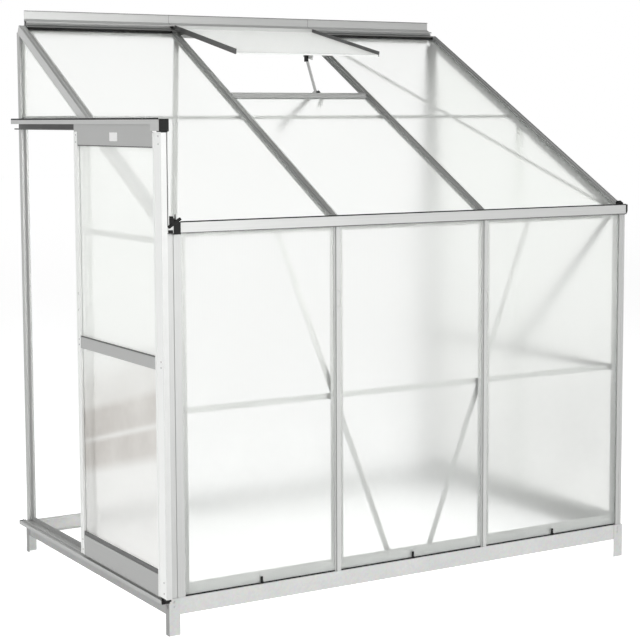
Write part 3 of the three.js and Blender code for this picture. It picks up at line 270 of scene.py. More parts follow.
def spread(tree, source, low, high):
    """Brings a mask from 0..1 into low..high."""
    remap = tree.nodes.new("ShaderNodeMapRange")
    remap.inputs["To Min"].default_value = low
    remap.inputs["To Max"].default_value = high
    tree.links.new(source, remap.inputs["Value"])
    return remap.outputs["Result"]


def bump(tree, shader, height, strength, distance):
    node = tree.nodes.new("ShaderNodeBump")
    node.inputs["Strength"].default_value = strength
    node.inputs["Distance"].default_value = distance
    tree.links.new(height, node.inputs["Height"])
    tree.links.new(node.outputs["Normal"], shader.inputs["Normal"])


def object_point(tree):
    return tree.nodes.new("ShaderNodeTexCoord").outputs["Object"]


def axes_of(tree, vector):
    """The X, Y and Z of a vector."""
    parts = tree.nodes.new("ShaderNodeSeparateXYZ")
    tree.links.new(vector, parts.inputs["Vector"])
    return parts.outputs


def tone_pair(light, dark):
    """A light and a dark grey with the faint green cast of mill-finished metal."""
    return [(level, level * 1.01, level * 0.995, 1) for level in (light, dark)]


def galvanised(name, tones):
    material, tree, shader = new_material(name, roughness=0.45, metallic=0.25)
    coordinates = object_point(tree)
    tone = place_patches(tree, coordinates, tones, patch=9, grain=240, share=0.25)
    crystals = tree.nodes.new("ShaderNodeTexVoronoi")
    crystals.inputs["Scale"].default_value = 130
    tree.links.new(coordinates, crystals.inputs["Vector"])
    flakes = mixed(tree, 0.1, tone.outputs["Color"], crystals.outputs["Color"], "SOFT_LIGHT")
    tree.links.new(flakes, shader.inputs["Base Color"])
    tree.links.new(spread(tree, tone.outputs["Mask"], low=0.38, high=0.55), shader.inputs["Roughness"])
    bump(tree, shader, crystals.outputs["Distance"], strength=0.08, distance=0.001)
    return material


def wear(names, material):
    """Gives the slots of CAD nodes their material."""
    for name in names:
        for slot in nodes[name].material_slots:
            slot.material = material


def lay_over(tree, mask, colour):
    """Lays a colour over a material's base colour, as far as the mask says."""
    base = tree.nodes["Principled BSDF"].inputs["Base Color"]
    tree.links.new(mixed(tree, mask, base.links[0].from_socket, colour), base)


def tone_region(material, limits, tones):
    """Gives the region within the limits (axis, above or below, value) other tones."""
    tree = material.node_tree
    coordinates = object_point(tree)
    axes = axes_of(tree, coordinates)
    region = place_patches(tree, coordinates, tones, patch=20, grain=300, share=0.4)
    within = 1
    for axis, side, value in limits:
        test = "GREATER_THAN" if side == "above" else "LESS_THAN"
        within = worked_out(tree, "MULTIPLY", within, worked_out(tree, test, axes[axis], value))
    lay_over(tree, within, region.outputs["Color"])


steel = galvanised("galvanised_steel", tone_pair(0.64, 0.54))
corners = ["front_left", "front_right", "back_left", "back_right"]
# The left base rail wears a darker copy of the galvanised steel: painted shade on the rail that faces
# left, away from the strong front lamp.
shaded_steel = galvanised("galvanised_shaded", tone_pair(0.43, 0.36))
wear([f"base_rail_{side}" for side in ("front", "back", "right")], steel)
wear(["base_rail_left"], shaded_steel)
leg_steel = galvanised("galvanised_legs", tone_pair(0.61, 0.52))
left_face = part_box("base_leg_front_left")[0].x
bolt_rise = 0.003
sheet = 0.002
# The legs' left faces get darker tones: painted shade on the faces turned away from the strong front
# lamp.
shaded_side_limits = [("X", "below", left_face + bolt_rise + sheet / 2)]
tone_region(leg_steel, shaded_side_limits, tone_pair(0.36, 0.30))
wear([f"base_leg_{corner}" for corner in corners], leg_steel)

# Nuts inside the base
# Each bolt head on a leg has a hexagon nut on a washer behind it, on the inner face of the rail,
# and the bolt's end stands out of the nut.


def in_order(bm):
    """Points and faces sorted by place, as bevels and extrusions leave them in a chance order."""
    verts = sorted(bm.verts, key=lambda vert: tuple(vert.co))
    number = {vert: index for index, vert in enumerate(verts)}
    faces = []
    for face in bm.faces:
        loop = [number[vert] for vert in face.verts]
        first = loop.index(min(loop))
        faces.append(loop[first:] + loop[:first])
    return [tuple(vert.co) for vert in verts], sorted(faces)


def new_piece(name, bm, material, body):
    """Turns a bmesh into a piece of the model that rides on a body."""
    bmesh.ops.recalc_face_normals(bm, faces=bm.faces)
    points, faces = in_order(bm)
    bm.free()
    mesh = bpy.data.meshes.new(name)
    mesh.from_pydata(points, [], faces)
    mesh.materials.append(material)
    piece = bpy.data.objects.new(name, mesh)
    scene.collection.objects.link(piece)
    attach(piece, body)


def soften(bm, edges, width, segments):
    bmesh.ops.bevel(
        bm, geom=edges, offset=width, offset_type="OFFSET", segments=segments, profile=0.5,
        affect="EDGES", material=-1, clamp_overlap=True,
    )


def edges_of(verts):
    return list(dict.fromkeys(edge for vert in verts for edge in vert.link_edges))


def along_axis(axis):
    """Turns a shape's own Z along an axis."""
    return Vector((0, 0, 1)).rotation_difference(Vector(axis)).to_matrix().to_4x4()


def add_round(bm, sides, radius, end_radius, bottom, top, place):
    """A cylinder or cone between two heights on its own Z, put in place."""
    middle = Matrix.Translation((0, 0, (bottom + top) / 2))
    return bmesh.ops.create_cone(
        bm, cap_ends=True, segments=sides, radius1=radius, radius2=end_radius,
        depth=top - bottom, matrix=place @ middle,
    )["verts"]


nut_across = 0.010
nut_height = 0.005
nut_edge_share = 0.05
washer_share = 0.82
bolt_share = 0.3
bolt_tip_share = 0.9


def add_nut(bm, place, axis):
    """A hexagon nut on its washer, with its axis out of the face that it sits on."""
    seat = Matrix.Translation(place) @ along_axis(axis)
    washer_top = nut_height / 4
    nut_top = washer_top + nut_height
    washer_radius = nut_across * washer_share
    hexagon_radius = nut_across / math.sqrt(3)
    bolt_radius = nut_across * bolt_share
    add_round(bm, 20, washer_radius, washer_radius, 0, washer_top, seat)
    hexagon = add_round(bm, 6, hexagon_radius, hexagon_radius, washer_top, nut_top, seat)
    add_round(bm, 12, bolt_radius, bolt_radius * bolt_tip_share, 0, nut_top + nut_height / 2, seat)
    soften(bm, edges_of(hexagon), nut_across * nut_edge_share, 1)


zinc = galvanised("zinc_fasteners", tone_pair(0.62, 0.48))
bolt_drops = (0.013, 0.028)
bolt_side_edge = 0.014
bolt_front_edge = 0.022
for corner in corners:
    low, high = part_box(f"base_leg_{corner}")
    side_x = -1 if "left" in corner else 1
    side_y = -1 if "front" in corner else 1
    leg_x = (low.x if side_x < 0 else high.x) - side_x * bolt_rise
    leg_y = low.y + bolt_rise if side_y < 0 else high.y
    bm = bmesh.new()
    for drop in bolt_drops:
        z = high.z - drop
        side_nut = (leg_x - side_x * 2 * sheet, leg_y - side_y * bolt_side_edge, z)
        add_nut(bm, side_nut, (-side_x, 0, 0))
        if side_y < 0:
            front_nut = (leg_x - side_x * bolt_front_edge, leg_y - side_y * 2 * sheet, z)
            add_nut(bm, front_nut, (0, -side_y, 0))
    new_piece(f"base_nuts_{corner}", bm, zinc, "frame")

# Aluminium frame
# Extruded bars in the satin tone that comes off the press, with fine lines along their length
# and thin darker marks where they were handled. They are bolted inside with square-headed bolts.


def drawn_lines_group():
    """Fine lines that run along one direction of the vector that comes in."""
    group, given, out = new_group("drawn_lines", [
        ("Vector", "NodeSocketVector", None),
        ("Squeeze", "NodeSocketVector", (1, 1, 1)),
        ("Scale", "NodeSocketFloat", 600),
    ], [("Lines", "NodeSocketFloat")])
    squeeze = group.nodes.new("ShaderNodeVectorMath")
    squeeze.operation = "MULTIPLY"
    lines = group.nodes.new("ShaderNodeTexNoise")
    lines.inputs["Detail"].default_value = 3
    link = group.links.new
    link(given.outputs["Vector"], squeeze.inputs[0])
    link(given.outputs["Squeeze"], squeeze.inputs[1])
    link(squeeze.outputs["Vector"], lines.inputs["Vector"])
    link(given.outputs["Scale"], lines.inputs["Scale"])
    link(lines.outputs["Fac"], out.inputs["Lines"])
    return group


lines_tree = drawn_lines_group()
plate_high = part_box("wall_plate")[1]
wall_line = plate_high.y
front_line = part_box("corner_post_left")[0].y
eaves_height = 1.336
ridge_height = 2.040
roof_pitch = math.atan2(ridge_height - eaves_height, wall_line - front_line)
stretch = 0.006
upright_lines = ((1, 1, stretch), 0)
long_lines = ((stretch, 1, 1), 0)
deep_lines = ((1, stretch, 1), 0)
slope_lines = ((1, stretch, 1), -roof_pitch)


def aluminium(name, lines, tones, metallic):
    material, tree, shader = new_material(name, roughness=0.4, metallic=metallic)
    squeeze, slope = lines
    coordinates = object_point(tree)
    mapping = tree.nodes.new("ShaderNodeMapping")
    mapping.inputs["Rotation"].default_value = (slope, 0, 0)
    tree.links.new(coordinates, mapping.inputs["Vector"])
    drawn = tree.nodes.new("ShaderNodeGroup")
    drawn.node_tree = lines_tree
    drawn.inputs["Squeeze"].default_value = squeeze
    drawn.inputs["Scale"].default_value = 420
    tree.links.new(mapping.outputs["Vector"], drawn.inputs["Vector"])
    tone = place_patches(tree, coordinates, tones, patch=5, grain=160, share=0.2)
    shade = mixed(tree, 0.16, tone.outputs["Color"], drawn.outputs["Lines"], "SOFT_LIGHT")
    tree.links.new(shade, shader.inputs["Base Color"])
    tree.links.new(spread(tree, drawn.outputs["Lines"], low=0.3, high=0.52), shader.inputs["Roughness"])
    bump(tree, shader, drawn.outputs["Lines"], strength=0.1, distance=0.0006)
    return material


# The tone pairs below, apart from the pale one, are lighter and darker copies of the one aluminium that
# all the bars are made of, set piece by piece for how the light falls on each: painted light and painted
# shade, the darkest on faces turned from the lamps, such as the door's rails.
bright = tone_pair(0.62, 0.55)
satin = tone_pair(0.54, 0.48)
grey = tone_pair(0.50, 0.44)
shade_tones = tone_pair(0.45, 0.39)
pale = tone_pair(0.94, 0.88)
bright_long = aluminium("aluminium_bright_long", long_lines, bright, metallic=0.5)
bright_deep = aluminium("aluminium_bright_deep", deep_lines, bright, metallic=0.5)
satin_upright = aluminium("aluminium_satin_upright", upright_lines, satin, metallic=0.5)
satin_long = aluminium("aluminium_satin_long", long_lines, tone_pair(0.53, 0.48), metallic=0.5)
grey_upright = aluminium("aluminium_grey_upright", upright_lines, grey, metallic=0.5)
grey_deep = aluminium("aluminium_grey_deep", deep_lines, tone_pair(0.46, 0.41), metallic=0.5)
shaded_deep = aluminium("aluminium_shaded_deep", deep_lines, tone_pair(0.41, 0.36), metallic=0.5)
# The sloping bars come in a lit copy and a darker one: the darker is painted shade on the bars' upward
# faces, which the light from above hardly reaches.
slope_light = aluminium("aluminium_slope_light", slope_lines, tone_pair(0.58, 0.50), metallic=0.8)
slope_shaded = aluminium("aluminium_slope_shaded", slope_lines, tone_pair(0.42, 0.36), metallic=0.8)
pale_upright = aluminium("aluminium_pale_upright", upright_lines, pale, metallic=0.3)
stile = aluminium("aluminium_stile", upright_lines, pale, metallic=0.3)
# The stile's front face gets a darker tone than its pale side, set for the light: painted shade that
# holds back the strong front lamp on that face.
stile_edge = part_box("door_stile_front")[0].y + 0.001
tone_region(stile, [("Y", "below", stile_edge)], tone_pair(0.66, 0.56))
wear(["front_bar_left", "front_bar_right", "track_support"], satin_upright)
wear(["corner_post_left", "corner_post_right", "wall_post_right", "wall_post_left"], grey_upright)
wear(["gable_bar_right", "door_jamb"], pale_upright)
wear(["eaves_gutter"], satin_long)
wear(["door_stile_back", "door_stile_front"], stile)
wear(["sill_front", "front_girt"], bright_long)
wear(["front_brace_left", "front_brace_right", "roof_brace_left", "roof_brace_right"], bright_long)
wear(["sill_right", "gable_rail_left"], bright_deep)
wear(["gable_girt_right", "gable_brace_right"], shaded_deep)
wear(["vent_sill", "purlin"], satin_long)
plate = aluminium("aluminium_plate", long_lines, shade_tones, metallic=0.5)
line = tone_pair(0.16, 0.12)
top_line = 0.0022
tone_region(plate, [("Z", "above", plate_high.z - top_line)], line)
vent_low, vent_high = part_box("vent_frame")
joint = 0.0016
for start in (vent_low.x - 3 * joint, vent_high.x + 2 * joint):
    tone_region(plate, [("X", "above", start), ("X", "below", start + joint)], line)
wear(["wall_plate"], plate)
wear(["threshold", "door_header", "vent_stay", "door_rail_top", "door_rail_middle"], grey_deep)
wear(["door_rail_bottom"], shaded_deep)
wear(["rafter_gable_left"], slope_light)
wear(["rafter_gable_right", "rafter_middle_left", "rafter_middle_right"], slope_shaded)

# Door track
# The channel that the door's wheels run in, open towards the outside below its lip. Its inside
# is painted dark: painted shade in the channel.
track_low, track_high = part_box("door_track")
track_wall = 0.002
track_metal = aluminium("aluminium_track", deep_lines, satin, metallic=0.5)
# Painted shade: the inside of the channel gets near-black tones.
tone_region(
    track_metal,
    [("X", "above", track_low.x + track_wall / 2), ("Z", "below", track_high.z - track_wall / 2)],
    tone_pair(0.10, 0.05),
)
wear(["door_track"], track_metal)

# Panels
# Twin-wall sheets of clear polycarbonate, 4 mm thick. Their ribs run upright, or down the roof,
# and blur what is behind them, more the farther it is off. Near the ground they are painted
# darker in blotches: painted shade.
rib_pitch = 0.0057
low_shade_top = 1.15
low_shade_full = 0.25


def twin_wall(name, direction, clearness, index, tones, low_shade_tone):
    material, tree, shader = new_material(name, roughness=0.32, metallic=0)
    shader.inputs["Transmission Weight"].default_value = clearness
    shader.inputs["IOR"].default_value = index
    coordinates = object_point(tree)
    ribs = tree.nodes.new("ShaderNodeTexWave")
    ribs.bands_direction = direction
    wave_period = math.pi / 10
    ribs.inputs["Scale"].default_value = wave_period / rib_pitch
    tree.links.new(coordinates, ribs.inputs["Vector"])
    tone = place_patches(tree, coordinates, tones, patch=2.5, grain=90, share=0.1)
    walls = tree.nodes.new("ShaderNodeMapRange")
    walls.interpolation_type = "SMOOTHSTEP"
    walls.inputs["From Min"].default_value = 0.8
    tree.links.new(ribs.outputs["Fac"], walls.inputs["Value"])
    rib_tone = [level * 0.96 for level in tones[1][:3]] + [1]
    lines = mixed(tree, walls.outputs["Result"], tone.outputs["Color"], rib_tone)
    # Painted shade: darker blotches low down, towards the ground.
    low_down = tree.nodes.new("ShaderNodeMapRange")
    low_down.interpolation_type = "SMOOTHSTEP"
    low_down.inputs["From Min"].default_value = low_shade_top
    low_down.inputs["From Max"].default_value = low_shade_full
    tree.links.new(axes_of(tree, coordinates)["Z"], low_down.inputs["Value"])
    blotches = place_patches(tree, coordinates, tones, patch=4, grain=30, share=0.3)
    strength = spread(tree, blotches.outputs["Mask"], low=0.4, high=1.6)
    low_shade = worked_out(tree, "MULTIPLY", low_down.outputs["Result"], strength)
    tree.links.new(mixed(tree, low_shade, lines, low_shade_tone), shader.inputs["Base Color"])
    tree.links.new(spread(tree, tone.outputs["Mask"], low=0.26, high=0.38), shader.inputs["Roughness"])
    bump(tree, shader, ribs.outputs["Fac"], strength=0.2, distance=0.0004)
    ray = tree.nodes.new("ShaderNodeLightPath")
    clear = tree.nodes.new("ShaderNodeBsdfTransparent")
    clear.inputs["Color"].default_value = (0.7, 0.7, 0.7, 1)
    lit = tree.nodes.new("ShaderNodeMixShader")
    surfaces = (shader.outputs["BSDF"], clear.outputs["BSDF"])
    feed(tree, lit.inputs, (ray.outputs["Is Shadow Ray"], *surfaces))
    tree.links.new(lit.outputs["Shader"], tree.nodes["Material Output"].inputs["Surface"])
    return material


plain = tone_pair(0.94, 0.90)
clean = tone_pair(0.99, 0.98)
front_sheet = twin_wall(
    "twin_wall_front", "X", clearness=0.94, index=1.2, tones=plain, low_shade_tone=(0.78, 0.79, 0.78, 1),
)
roof_sheet = twin_wall(
    "twin_wall_roof", "X", clearness=0.98, index=1.08, tones=clean, low_shade_tone=(0.90, 0.90, 0.89, 1),
)
deep_sheet = twin_wall(
    "twin_wall_deep", "Y", clearness=0.985, index=1.05, tones=clean, low_shade_tone=(0.88, 0.88, 0.87, 1),
)
vent_sheet = twin_wall(
    "twin_wall_vent", "X", clearness=0.45, index=1.08, tones=clean, low_shade_tone=(0.90, 0.90, 0.89, 1),
)
door_sheet = twin_wall(
    "twin_wall_door", "Y", clearness=0.6, index=1.06, tones=clean, low_shade_tone=(0.90, 0.90, 0.89, 1),
)
tree = door_sheet.node_tree
coordinates = object_point(tree)
axes = axes_of(tree, coordinates)
film_tones = [(0.90, 0.885, 0.86, 1), (0.50, 0.47, 0.44, 1)]
film = place_patches(tree, coordinates, film_tones, patch=5, grain=40, share=0.1)
film_slope = 0.25
rising = worked_out(tree, "MULTIPLY_ADD", axes["Y"], film_slope, axes["Z"])
band = tree.nodes.new("ShaderNodeFloatCurve")
points = band.mapping.curves[0].points
film_edges = [
    (0.42, 0), (0.46, 0.75), (0.53, 0.80), (0.545, 0.15), (0.56, 0.80), (0.64, 0.80),
    (0.67, 0.35), (0.74, 0.25),
]
points[0].location = (0.36, 0)
points[1].location = (0.82, 0)
for height, strength in film_edges:
    points.new(height, strength)
for point in points:
    point.handle_type = "VECTOR"
band.mapping.update()
tree.links.new(rising, band.inputs["Value"])
lay_over(tree, band.outputs["Value"], film.outputs["Color"])
wear([f"front_panel_{bay}" for bay in ("left", "middle", "right")], front_sheet)
wear([f"roof_panel_{bay}" for bay in ("left", "middle", "right")], roof_sheet)
wear(["vent_panel"], vent_sheet)
wear(["gable_panel_right_front", "gable_panel_right_back"], deep_sheet)
wear(["gable_panel_left_front", "gable_panel_left_upper"], deep_sheet)
wear(["door_panel_upper", "door_panel_lower"], door_sheet)

# Black plastic
# Moulded nylon: the wheels on which the door hangs in its track, and the caps, guides and clips
# pressed on the ends of the profiles. It is dull, with a fine grain from the mould.


def moulded(name, tones):
    material, tree, shader = new_material(name, roughness=0.5, metallic=0)
    shader.inputs["Specular IOR Level"].default_value = 0.15
    coordinates = object_point(tree)
    tone = place_patches(tree, coordinates, tones, patch=30, grain=900, share=0.5)
    tree.links.new(tone.outputs["Color"], shader.inputs["Base Color"])
    tree.links.new(spread(tree, tone.outputs["Mask"], low=0.4, high=0.62), shader.inputs["Roughness"])
    bump(tree, shader, tone.outputs["Mask"], strength=0.2, distance=0.0003)
    return material


black = moulded("black_nylon", tone_pair(0.016, 0.008))
wear(["door_roller_back", "door_roller_front"], black)

# Gutter ends
# The left end of the gutter is closed by a moulded sleeve that grips its front and floor, the
# right end by a plate with a rounded drip edge. Both push on without screws.


def add_block(bm, low, high):
    """A block between two corners; its vertices come back for more work."""
    low, high = Vector(low), Vector(high)
    place = Matrix.Translation((low + high) / 2) @ Matrix.Diagonal((*(high - low), 1))
    return bmesh.ops.create_cube(bm, size=1, matrix=place)["verts"]


def add_soft_block(bm, low, high, width):
    soften(bm, edges_of(add_block(bm, low, high)), width, 2)


def add_profile(bm, points, axis, start, end):
    """Extrudes an outline along X or Y; its points are (y, z) or (x, z)."""
    along = Vector((1, 0, 0)) if axis == "X" else Vector((0, 1, 0))
    placed = [(0, a, b) if axis == "X" else (a, 0, b) for a, b in points]
    corner_verts = [bm.verts.new(Vector(point) + along * start) for point in placed]
    face = bm.faces.new(corner_verts)
    grown = bmesh.ops.extrude_face_region(bm, geom=[face])["geom"]
    moved = [part for part in grown if isinstance(part, bmesh.types.BMVert)]
    bmesh.ops.translate(bm, verts=moved, vec=along * (end - start))
    return corner_verts + moved


def new_cap(name, bm):
    """A black moulding that stays on the frame."""
    new_piece(name, bm, black, "frame")


play = 0.0002
fine_edge = 0.0008
soft_edge = 0.0010
thick_edge = 0.0012
gutter_low, gutter_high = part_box("eaves_gutter")
gutter_front = gutter_low.y
gutter_drop = 0.025
gutter_rise = 0.010
gutter_floor = eaves_height - gutter_drop
gutter_rim = eaves_height + gutter_rise
gutter_sheet = 0.002
gutter_depth = 0.024
# A thin dark band along the lower edge of the gutter's face: painted shade under the face.
foot_shade_tones = tone_pair(0.12, 0.09)
foot_line = 0.003
foot_lap = 0.001
foot_shade_limits = [("Z", "below", gutter_floor + foot_line), ("Z", "above", gutter_floor - foot_lap)]
tone_region(satin_long, foot_shade_limits, foot_shade_tones)
sleeve_wall = 0.0025
sleeve_inset = 0.022
sleeve_length = 0.024
sleeve_start = gutter_low.x + sleeve_inset
sleeve_end = sleeve_start + sleeve_length
gripped = [
    (gutter_front + gutter_sheet + play, gutter_rim + sleeve_wall),
    (gutter_front - sleeve_wall, gutter_rim + sleeve_wall),
    (gutter_front - sleeve_wall, gutter_floor - sleeve_wall),
    (gutter_front + gutter_depth, gutter_floor - sleeve_wall),
    (gutter_front + gutter_depth, gutter_floor - play),
    (gutter_front - play, gutter_floor - play),
    (gutter_front - play, gutter_rim + play),
    (gutter_front + gutter_sheet + play, gutter_rim + play),
]
bm = bmesh.new()
sleeve_verts = add_profile(bm, gripped, "X", sleeve_start, sleeve_end)
soften(bm, edges_of(sleeve_verts), width=0.0006, segments=2)
stopper_shoulder = 0.020
stopper_length = 0.006
stopper = [
    (gutter_front + gutter_sheet + play, gutter_floor + gutter_sheet + play),
    (gutter_front + gutter_depth, gutter_floor + gutter_sheet + play),
    (gutter_front + gutter_depth, gutter_rim - stopper_shoulder),
    (gutter_front + gutter_depth / 2, gutter_rim),
    (gutter_front + gutter_sheet + play, gutter_rim),
]
stopper_verts = add_profile(bm, stopper, "X", sleeve_start, sleeve_start + stopper_length)
soften(bm, edges_of(stopper_verts), width=0.0004, segments=1)
new_cap("gutter_end_left", bm)

bm = bmesh.new()
plate_start = gutter_high.x + play
plate_thick = 0.0065
plate_proud = 0.002
drip_radius = 0.016
drip_steps = 6
end_depth = 0.034
drip = [(gutter_front - plate_proud, gutter_rim + plate_proud)]
for step in range(drip_steps + 1):
    angle = math.pi / 2 * step / drip_steps
    drip.append((
        gutter_front - plate_proud + drip_radius * (1 - math.cos(angle)),
        gutter_floor - plate_proud + drip_radius * (1 - math.sin(angle)),
    ))
drip += [
    (gutter_front + end_depth, gutter_floor - plate_proud),
    (gutter_front + end_depth, gutter_rim + plate_proud),
]
plate_edges = edges_of(add_profile(bm, drip, "X", plate_start, plate_start + plate_thick))
soften(bm, plate_edges, width=0.0010, segments=2)
new_cap("gutter_end_right", bm)

# Gutter edge strip
# A thin black strip along the gutter's rim, put where the trough lies in shade: painted shade
# that draws the dark line along the gutter's upper edge.
strip_height = 0.0042
strip_shoulder = strip_height * 0.7
strip_bevel = gutter_sheet * 0.2
strip = [
    (gutter_front - play, gutter_rim + play / 2),
    (gutter_front + gutter_sheet + play, gutter_rim + play / 2),
    (gutter_front + gutter_sheet + play, gutter_rim + strip_shoulder),
    (gutter_front + gutter_sheet - strip_bevel, gutter_rim + strip_height),
    (gutter_front + strip_bevel, gutter_rim + strip_height),
    (gutter_front - play, gutter_rim + strip_shoulder),
]
bm = bmesh.new()
add_profile(bm, strip, "X", sleeve_end + play, gutter_high.x - play)
new_cap("gutter_rim_shade_strip", bm)

# Strips on the roof panels' lower edges
# Each roof panel ends at the eaves in a folded strip of thin aluminium that closes its channels.
# It shows as a light line above the gutter.


def roof_place(x, depth, distance):
    """A point of the roof from its eaves corner: depth goes in, distance goes up the slope."""
    eaves = Vector((0, front_line, eaves_height))
    down = Vector((0, math.sin(roof_pitch), -math.cos(roof_pitch)))
    up = Vector((0, math.cos(roof_pitch), math.sin(roof_pitch)))
    return eaves + Vector((x, 0, 0)) + down * depth + up * distance


def add_roof_block(bm, low, high, width):
    """A block given by x, depth and distance up the slope, with its edges softened."""
    turn = Matrix.Rotation(roof_pitch - math.pi / 2, 4, "X")
    verts = add_block(bm, low, high)
    bmesh.ops.transform(bm, matrix=Matrix.Translation(roof_place(0, 0, 0)) @ turn, verts=verts)
    soften(bm, edges_of(verts), width, 2)


panel_top = 0.008
panel_foot = 0.006
foil = 0.0008
strip_lap = 0.010
strip_fold = 0.0042
strip_metal = aluminium("aluminium_strip", long_lines, tone_pair(0.42, 0.36), metallic=0.4)
bm = bmesh.new()
for bay in ("left", "middle", "right"):
    low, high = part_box(f"roof_panel_{bay}")
    over = panel_top - play
    add_roof_block(
        bm, (low.x, over - foil, panel_foot - foil - play),
        (high.x, over, panel_foot + strip_lap), foil / 4,
    )
    add_roof_block(
        bm, (low.x, over - foil, panel_foot - foil - play),
        (high.x, panel_top + strip_fold, panel_foot - play), foil / 4,
    )
new_piece("roof_panel_strips", bm, strip_metal, "frame")

# Rafter caps
# A moulded cap closes the open foot of each gable rafter. At the left eaves corner a moulded
# clamp with a slanted arm ties the rafter, the gutter and the track's support together.
rafter_foot = 0.016
rafter_width = 0.026
rafter_depth = 0.033
cap_thick = 0.004
cap_proud = 0.001
lid_outer_inset = 0.003
lid_inner_lap = 0.002
lid_length = 0.014
for name, side in (("left", -1), ("right", 1)):
    low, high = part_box(f"rafter_gable_{name}")
    outer = low.x if side < 0 else high.x
    inner = outer - side * rafter_width
    across = sorted((outer, inner))
    bm = bmesh.new()
    add_roof_block(
        bm, (across[0], -cap_proud, rafter_foot - cap_thick),
        (across[1], rafter_depth, rafter_foot - play), soft_edge,
    )
    lid = sorted((outer - side * lid_outer_inset, inner + side * lid_inner_lap))
    add_roof_block(
        bm, (lid[0], -3 * cap_thick, rafter_foot - cap_thick),
        (lid[1], -play, rafter_foot + lid_length), soft_edge,
    )
    new_cap(f"rafter_cap_gable_{name}", bm)

clamp = Vector((gutter_low.x, gutter_front, gutter_rim))
arm_start = clamp + Vector((0.0010, -0.0065, -0.0140))
arm_end = clamp + Vector((0.0440, -0.0050, 0.0130))
arm_length = (arm_end - arm_start).length
arm_half = 0.0046
bm = bmesh.new()
arm_place = Matrix.Translation(arm_start) @ along_axis(arm_end - arm_start)
arm = add_block(bm, (-arm_half, -arm_half, 0), (arm_half, arm_half, arm_length))
bmesh.ops.transform(bm, matrix=arm_place, verts=arm)
soften(bm, edges_of(arm), width=thick_edge, segments=2)
saddle_reach = front_line + 0.0100 - gutter_front
toe_height = gutter_floor - gutter_rim
clamp_blocks = {
    "saddle": ((-0.0030, 0.0030, 0.0002), (0.0240, saddle_reach, 0.0200), thick_edge),
    "jaw": ((0, -0.0105, -0.0020), (0.0200, 0.0040, 0.0150), thick_edge),
    "toe": ((0.0030, -0.0050, toe_height + 0.0020), (0.0180, -play, toe_height + 0.0120), soft_edge),
}
for low, high, width in clamp_blocks.values():
    add_soft_block(bm, clamp + Vector(low), clamp + Vector(high), width)
pin_share = 0.55
pin_radius = 0.0030
pin_tip_radius = 0.0016
pin_length = 0.026
pin_place = Matrix.Translation(arm_start.lerp(arm_end, pin_share))
pin = add_round(bm, 12, pin_radius, pin_tip_radius, 0, pin_length, pin_place)
soften(bm, edges_of(pin), width=0.0004, segments=1)
new_cap("eaves_clamp_left", bm)

# Seals of the wall plate
# A black rubber lip under the plate's flap presses on the upper edge of the outer roof panels,
# and black plugs close the ends of the groove that the vent hangs in.
flap_edge = 0.045
roof_length = (wall_line - front_line) / math.cos(roof_pitch)
lip_gap = 0.0012
lip_width = 0.0035
lip_proud = 0.0030
lip_from = roof_length - flap_edge - lip_gap
bm = bmesh.new()
for bay in ("left", "right"):
    low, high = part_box(f"roof_panel_{bay}")
    add_roof_block(
        bm, (low.x, -lip_proud, lip_from),
        (high.x, panel_top - play, lip_from + lip_width), fine_edge,
    )
new_cap("plate_seals", bm)
hinge_drop = 0.028
hinge_distance = roof_length - hinge_drop
hinge_rise = 0.012
plug_length = 0.009
plug_radius = 0.0072
bm = bmesh.new()
for start in (vent_low.x - plug_length - play, vent_high.x + play):
    plug_at = roof_place(start, -hinge_rise, hinge_distance)
    plug_place = Matrix.Translation(plug_at) @ along_axis((1, 0, 0))
    plug = add_round(bm, 16, plug_radius, plug_radius, 0, plug_length, plug_place)
    soften(bm, edges_of(plug), width=0.0006, segments=1)
new_cap("hinge_plugs", bm)

# Lower shade strip and clips
# A thin black strip lies before the foot of the panels, painted shade for the gap there, and one
# small clip in the middle of each front bay holds the panel to the sill.
base_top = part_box("base_rail_front")[1].z


def shade_strip_outline(face, outward):
    """The strip's section against a face that looks outward."""
    outline = [(0.0002, 0.0001), (0.0002, 0.0034), (0.0014, 0.0034), (0.0040, 0.0012), (0.0040, 0.0001)]
    return [(face + outward * a, base_top + b) for a, b in outline]


bm = bmesh.new()
clip_bm = bmesh.new()
clip_half = 0.004
clip_out = 0.0075
clip_tongue_out = 0.0042
clip_overlap = 0.0004
clip_height = 0.007
tongue_half = clip_half * 0.9
tongue_bottom = 0.0035
tongue_top = 0.024
for bay in ("left", "middle", "right"):
    low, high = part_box(f"front_panel_{bay}")
    face = low.y
    add_profile(bm, shade_strip_outline(face, -1), "X", low.x, high.x)
    middle = (low.x + high.x) / 2
    add_soft_block(
        clip_bm, (middle - clip_half, face - clip_out, base_top + play),
        (middle + clip_half, face - clip_tongue_out, base_top + clip_height), fine_edge,
    )
    add_soft_block(
        clip_bm, (middle - tongue_half, face - clip_tongue_out - clip_overlap, base_top + tongue_bottom),
        (middle + tongue_half, face - play, base_top + tongue_top), fine_edge,
    )
new_cap("sill_shade_strip_front", bm)
new_cap("sill_clips_front", clip_bm)
bm = bmesh.new()
for bay in ("front", "back"):
    low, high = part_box(f"gable_panel_right_{bay}")
    add_profile(bm, shade_strip_outline(high.x, 1), "Y", low.y, high.y)
new_cap("sill_shade_strip_right", bm)

